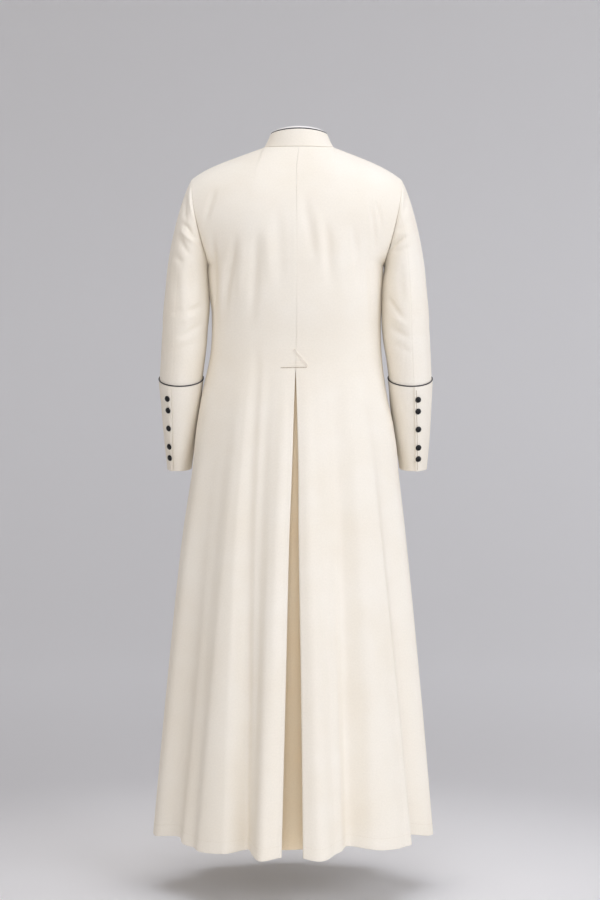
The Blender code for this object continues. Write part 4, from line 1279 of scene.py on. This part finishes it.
def sleeve(side, word, cloth, cord, satin, thread):
    """Top and under sleeve, the cuff with its cord, and the cuff's buttons and stitching."""
    creases = LEFT_SLEEVE_CREASES if side > 0 else RIGHT_SLEEVE_CREASES
    hub = np.array(SLEEVE_HUB) * (side, 1, 1)
    grids = {
        "top": sleeve_points(side, FOREARM_SEAM - SLEEVE_STEPS, HINDARM_SEAM),
        "under": sleeve_points(side, HINDARM_SEAM, FOREARM_SEAM),
    }
    away = {part: directions(grid, hub) for part, grid in grids.items()}
    shared(away["top"][:, -1], away["under"][:, 0])
    shared(away["top"][:, 0], away["under"][:, -1])
    for part, grid in grids.items():
        formed = creased(grid, away[part], creases)
        middle = grid.shape[1] // 2
        piece = shell(f"{part}_sleeve_{word}", formed, away[part], THIN, cloth, centre=middle)
        declare(piece, f"sleeve_{part}_{word}", grid)

    under = CUFF_UNDER * SLEEVE_STEPS / 360.0
    first = HINDARM_SEAM - under
    last = HINDARM_SEAM + SLEEVE_STEPS
    grid = sleeve_points(side, first, last, top=CUFF_TOP, bottom=SLEEVE_SECTIONS[-1]["z"])
    outs = directions(grid, hub)
    steps = np.linspace(first, last, grid.shape[1])
    to_edge = (last - steps) * 360.0 / SLEEVE_STEPS
    lift = CLOTH + SEAM_GAP + CUFF_LAP * smooth(1 - to_edge / CUFF_LAP_EASE)
    cuff = grid + outs * (lift[None, :] - crease_depth(grid, outs, creases))[..., None]
    piece = shell(f"turned_cuff_{word}", cuff, outs, THIN, cloth, centre=grid.shape[1] // 2)
    declare(piece, f"cuff_{word}", cuff)
    ring = round(under * SLEEVE_FINE)
    up = unit(cuff[0] - cuff[1])
    path = (grid[0] + (outs[0] + up) * (PIPING_RADIUS + 2 * SEAM_GAP))[ring:-1]
    piece = tube(f"cuff_cord_{word}", path, PIPING_RADIUS, cord)
    declare(piece, f"cuff_piping_{word}")
    # The vent's stitches, in the thread given: drab on the right cuff is a painted shadow line at the vent's
    # edge, pale on the left cuff a painted highlight line
    edge, edge_outs = inside_edge(cuff, outs, 1, True, CUFF_STITCH)
    sew(f"cuff_stitches_{word}", [(edge[2:-1], edge_outs[2:-1])], thread, **{
        "Spacing": 0.0018, "Thread width": 0.0011,
    })
    column = int(np.argmin(np.abs(steps - BUTTON_LINE - SLEEVE_STEPS)))
    line = cuff[:, column]
    for number, drop in enumerate(CUFF_BUTTON_DROPS):
        seat, direction = at_height(line, outs[:, column], line[0, 2] - drop)
        name = f"cuff_covered_button_{word}_{number + 1}"
        button(name, f"cuff_button_{word}_{number + 1}", seat, direction, satin)


def stage(paint):
    """Floor that curves up into a wall all round."""
    profile = [(STAGE_CENTRE, FLOOR_Z), (STAGE_FLAT, FLOOR_Z)]
    for turn in np.linspace(0.0, 0.5 * math.pi, SWEEP_STEPS + 1)[1:]:
        radius = STAGE_FLAT + STAGE_BEND * math.sin(turn)
        profile.append((radius, FLOOR_Z + STAGE_BEND * (1 - math.cos(turn))))
    profile.append((STAGE_FLAT + STAGE_BEND, STAGE_TOP))
    points = []
    for radius, z in profile:
        for i in range(SWEEP_SIDES):
            turn = math.tau * i / SWEEP_SIDES
            points.append((radius * math.cos(turn), radius * math.sin(turn), z))
    faces = [tuple(range(SWEEP_SIDES))]
    for a, b, c, d in ring_faces(len(profile), SWEEP_SIDES):
        faces.append((a, d, c, b))
    mesh_piece("studio_sweep", points, faces, paint)


def lamp(name, place, target, size, watts, colour):
    """A square soft light aimed at a place."""
    light = bpy.data.lights.new(name, "AREA")
    light.shape = "SQUARE"
    light.size = size
    light.energy = watts
    light.color = linear(colour)[:3]
    made = placed(name, light)
    made.location = place
    made.rotation_euler = (Vector(target) - Vector(place)).to_track_quat("-Z", "Y").to_euler()
    made.visible_camera = False


def studio():
    """The camera behind the garment, the soft lights and the pale surroundings."""
    scene = bpy.context.scene
    camera = bpy.data.cameras.new("camera")
    camera.lens = LENS
    camera.sensor_width = 36.0
    camera.clip_end = 60.0
    made = placed("camera", camera)
    made.location = CAMERA_AT
    made.rotation_euler = (0.5 * math.pi, 0.0, math.pi)
    scene.camera = made
    lamp("key", (-2.8, 3.4, 1.0), (0.0, 0.0, -0.5), 2.4, 50.0, "ECF2FF")
    lamp("side", (-4.6, 1.4, 0.2), (0.0, 0.0, -0.6), 2.4, 53.0, "F2F5FF")
    lamp("frontal", (0.4, 4.9, 0.3), (0.0, 0.0, -0.4), 2.2, 58.0, "F3F6FF")
    lamp("fill", (3.4, 3.2, -0.2), (0.0, 0.0, -0.8), 2.6, 14.0, "FFF2E2")
    lamp("top", (0.0, 0.6, 3.4), (0.0, 0.0, -0.7), 4.0, 110.0, "EEF3FF")
    lamp("wall", (-2.8, -1.0, 4.4), (-3.8, -8.0, 2.2), 3.0, 142.0, "F2F6FF")
    world = bpy.data.worlds.new("studio air")
    world.use_nodes = True
    background = world.node_tree.nodes["Background"]
    background.inputs["Color"].default_value = linear("FFEEDA")
    background.inputs["Strength"].default_value = 0.18
    scene.world = world
    scene.view_settings.view_transform = "Standard"


def main():
    """Build the visible garment round the part."""
    for existing in list(bpy.data.objects):
        bpy.data.objects.remove(existing)
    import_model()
    cloth = ivory_wool("ivory wool barathea", "F3EAD9", "F7F0E2")
    # The same wool painted warmer for the pleat's underlay: FFE9C6 to FFEFD2 is painted warm light bounced
    # between the cloth inside the pleat
    deep = ivory_wool("ivory wool with painted warm bounce light", "FFE9C6", "FFEFD2")
    linen = white_linen()
    cord = dark_cord()
    satin = black_satin()
    thread = ivory_thread("ivory silk thread", "DDCFB8", "F0E6D2")
    # Pale thread, lighter than the cloth: on the tack it paints the light its raised stitching catches, and
    # the left cuff's vent stitches in it are a painted highlight line
    pale = ivory_thread("pale silk twist with painted highlight", "FBF1E0", "FFF7EA")
    # Drab thread, darker than the cloth: the tack's base line and the right cuff's vent stitches sewn in it
    # are painted shadow lines
    drab_shadow_thread = ivory_thread("drab silk thread painted as shadow lines", "AB9B84", "C0B19B")
    body(cloth, deep, satin, thread, pale, drab_shadow_thread)
    collar(cloth, linen, cord)
    # The left cuff's stitches in pale thread paint the light line on its vent's edge
    sleeve(1, "left", cloth, cord, satin, pale)
    # The right cuff's stitches in drab thread paint the shadow line at its vent's edge
    sleeve(-1, "right", cloth, cord, satin, drab_shadow_thread)
    stage(studio_paint_with_painted_light())
    studio()


main()
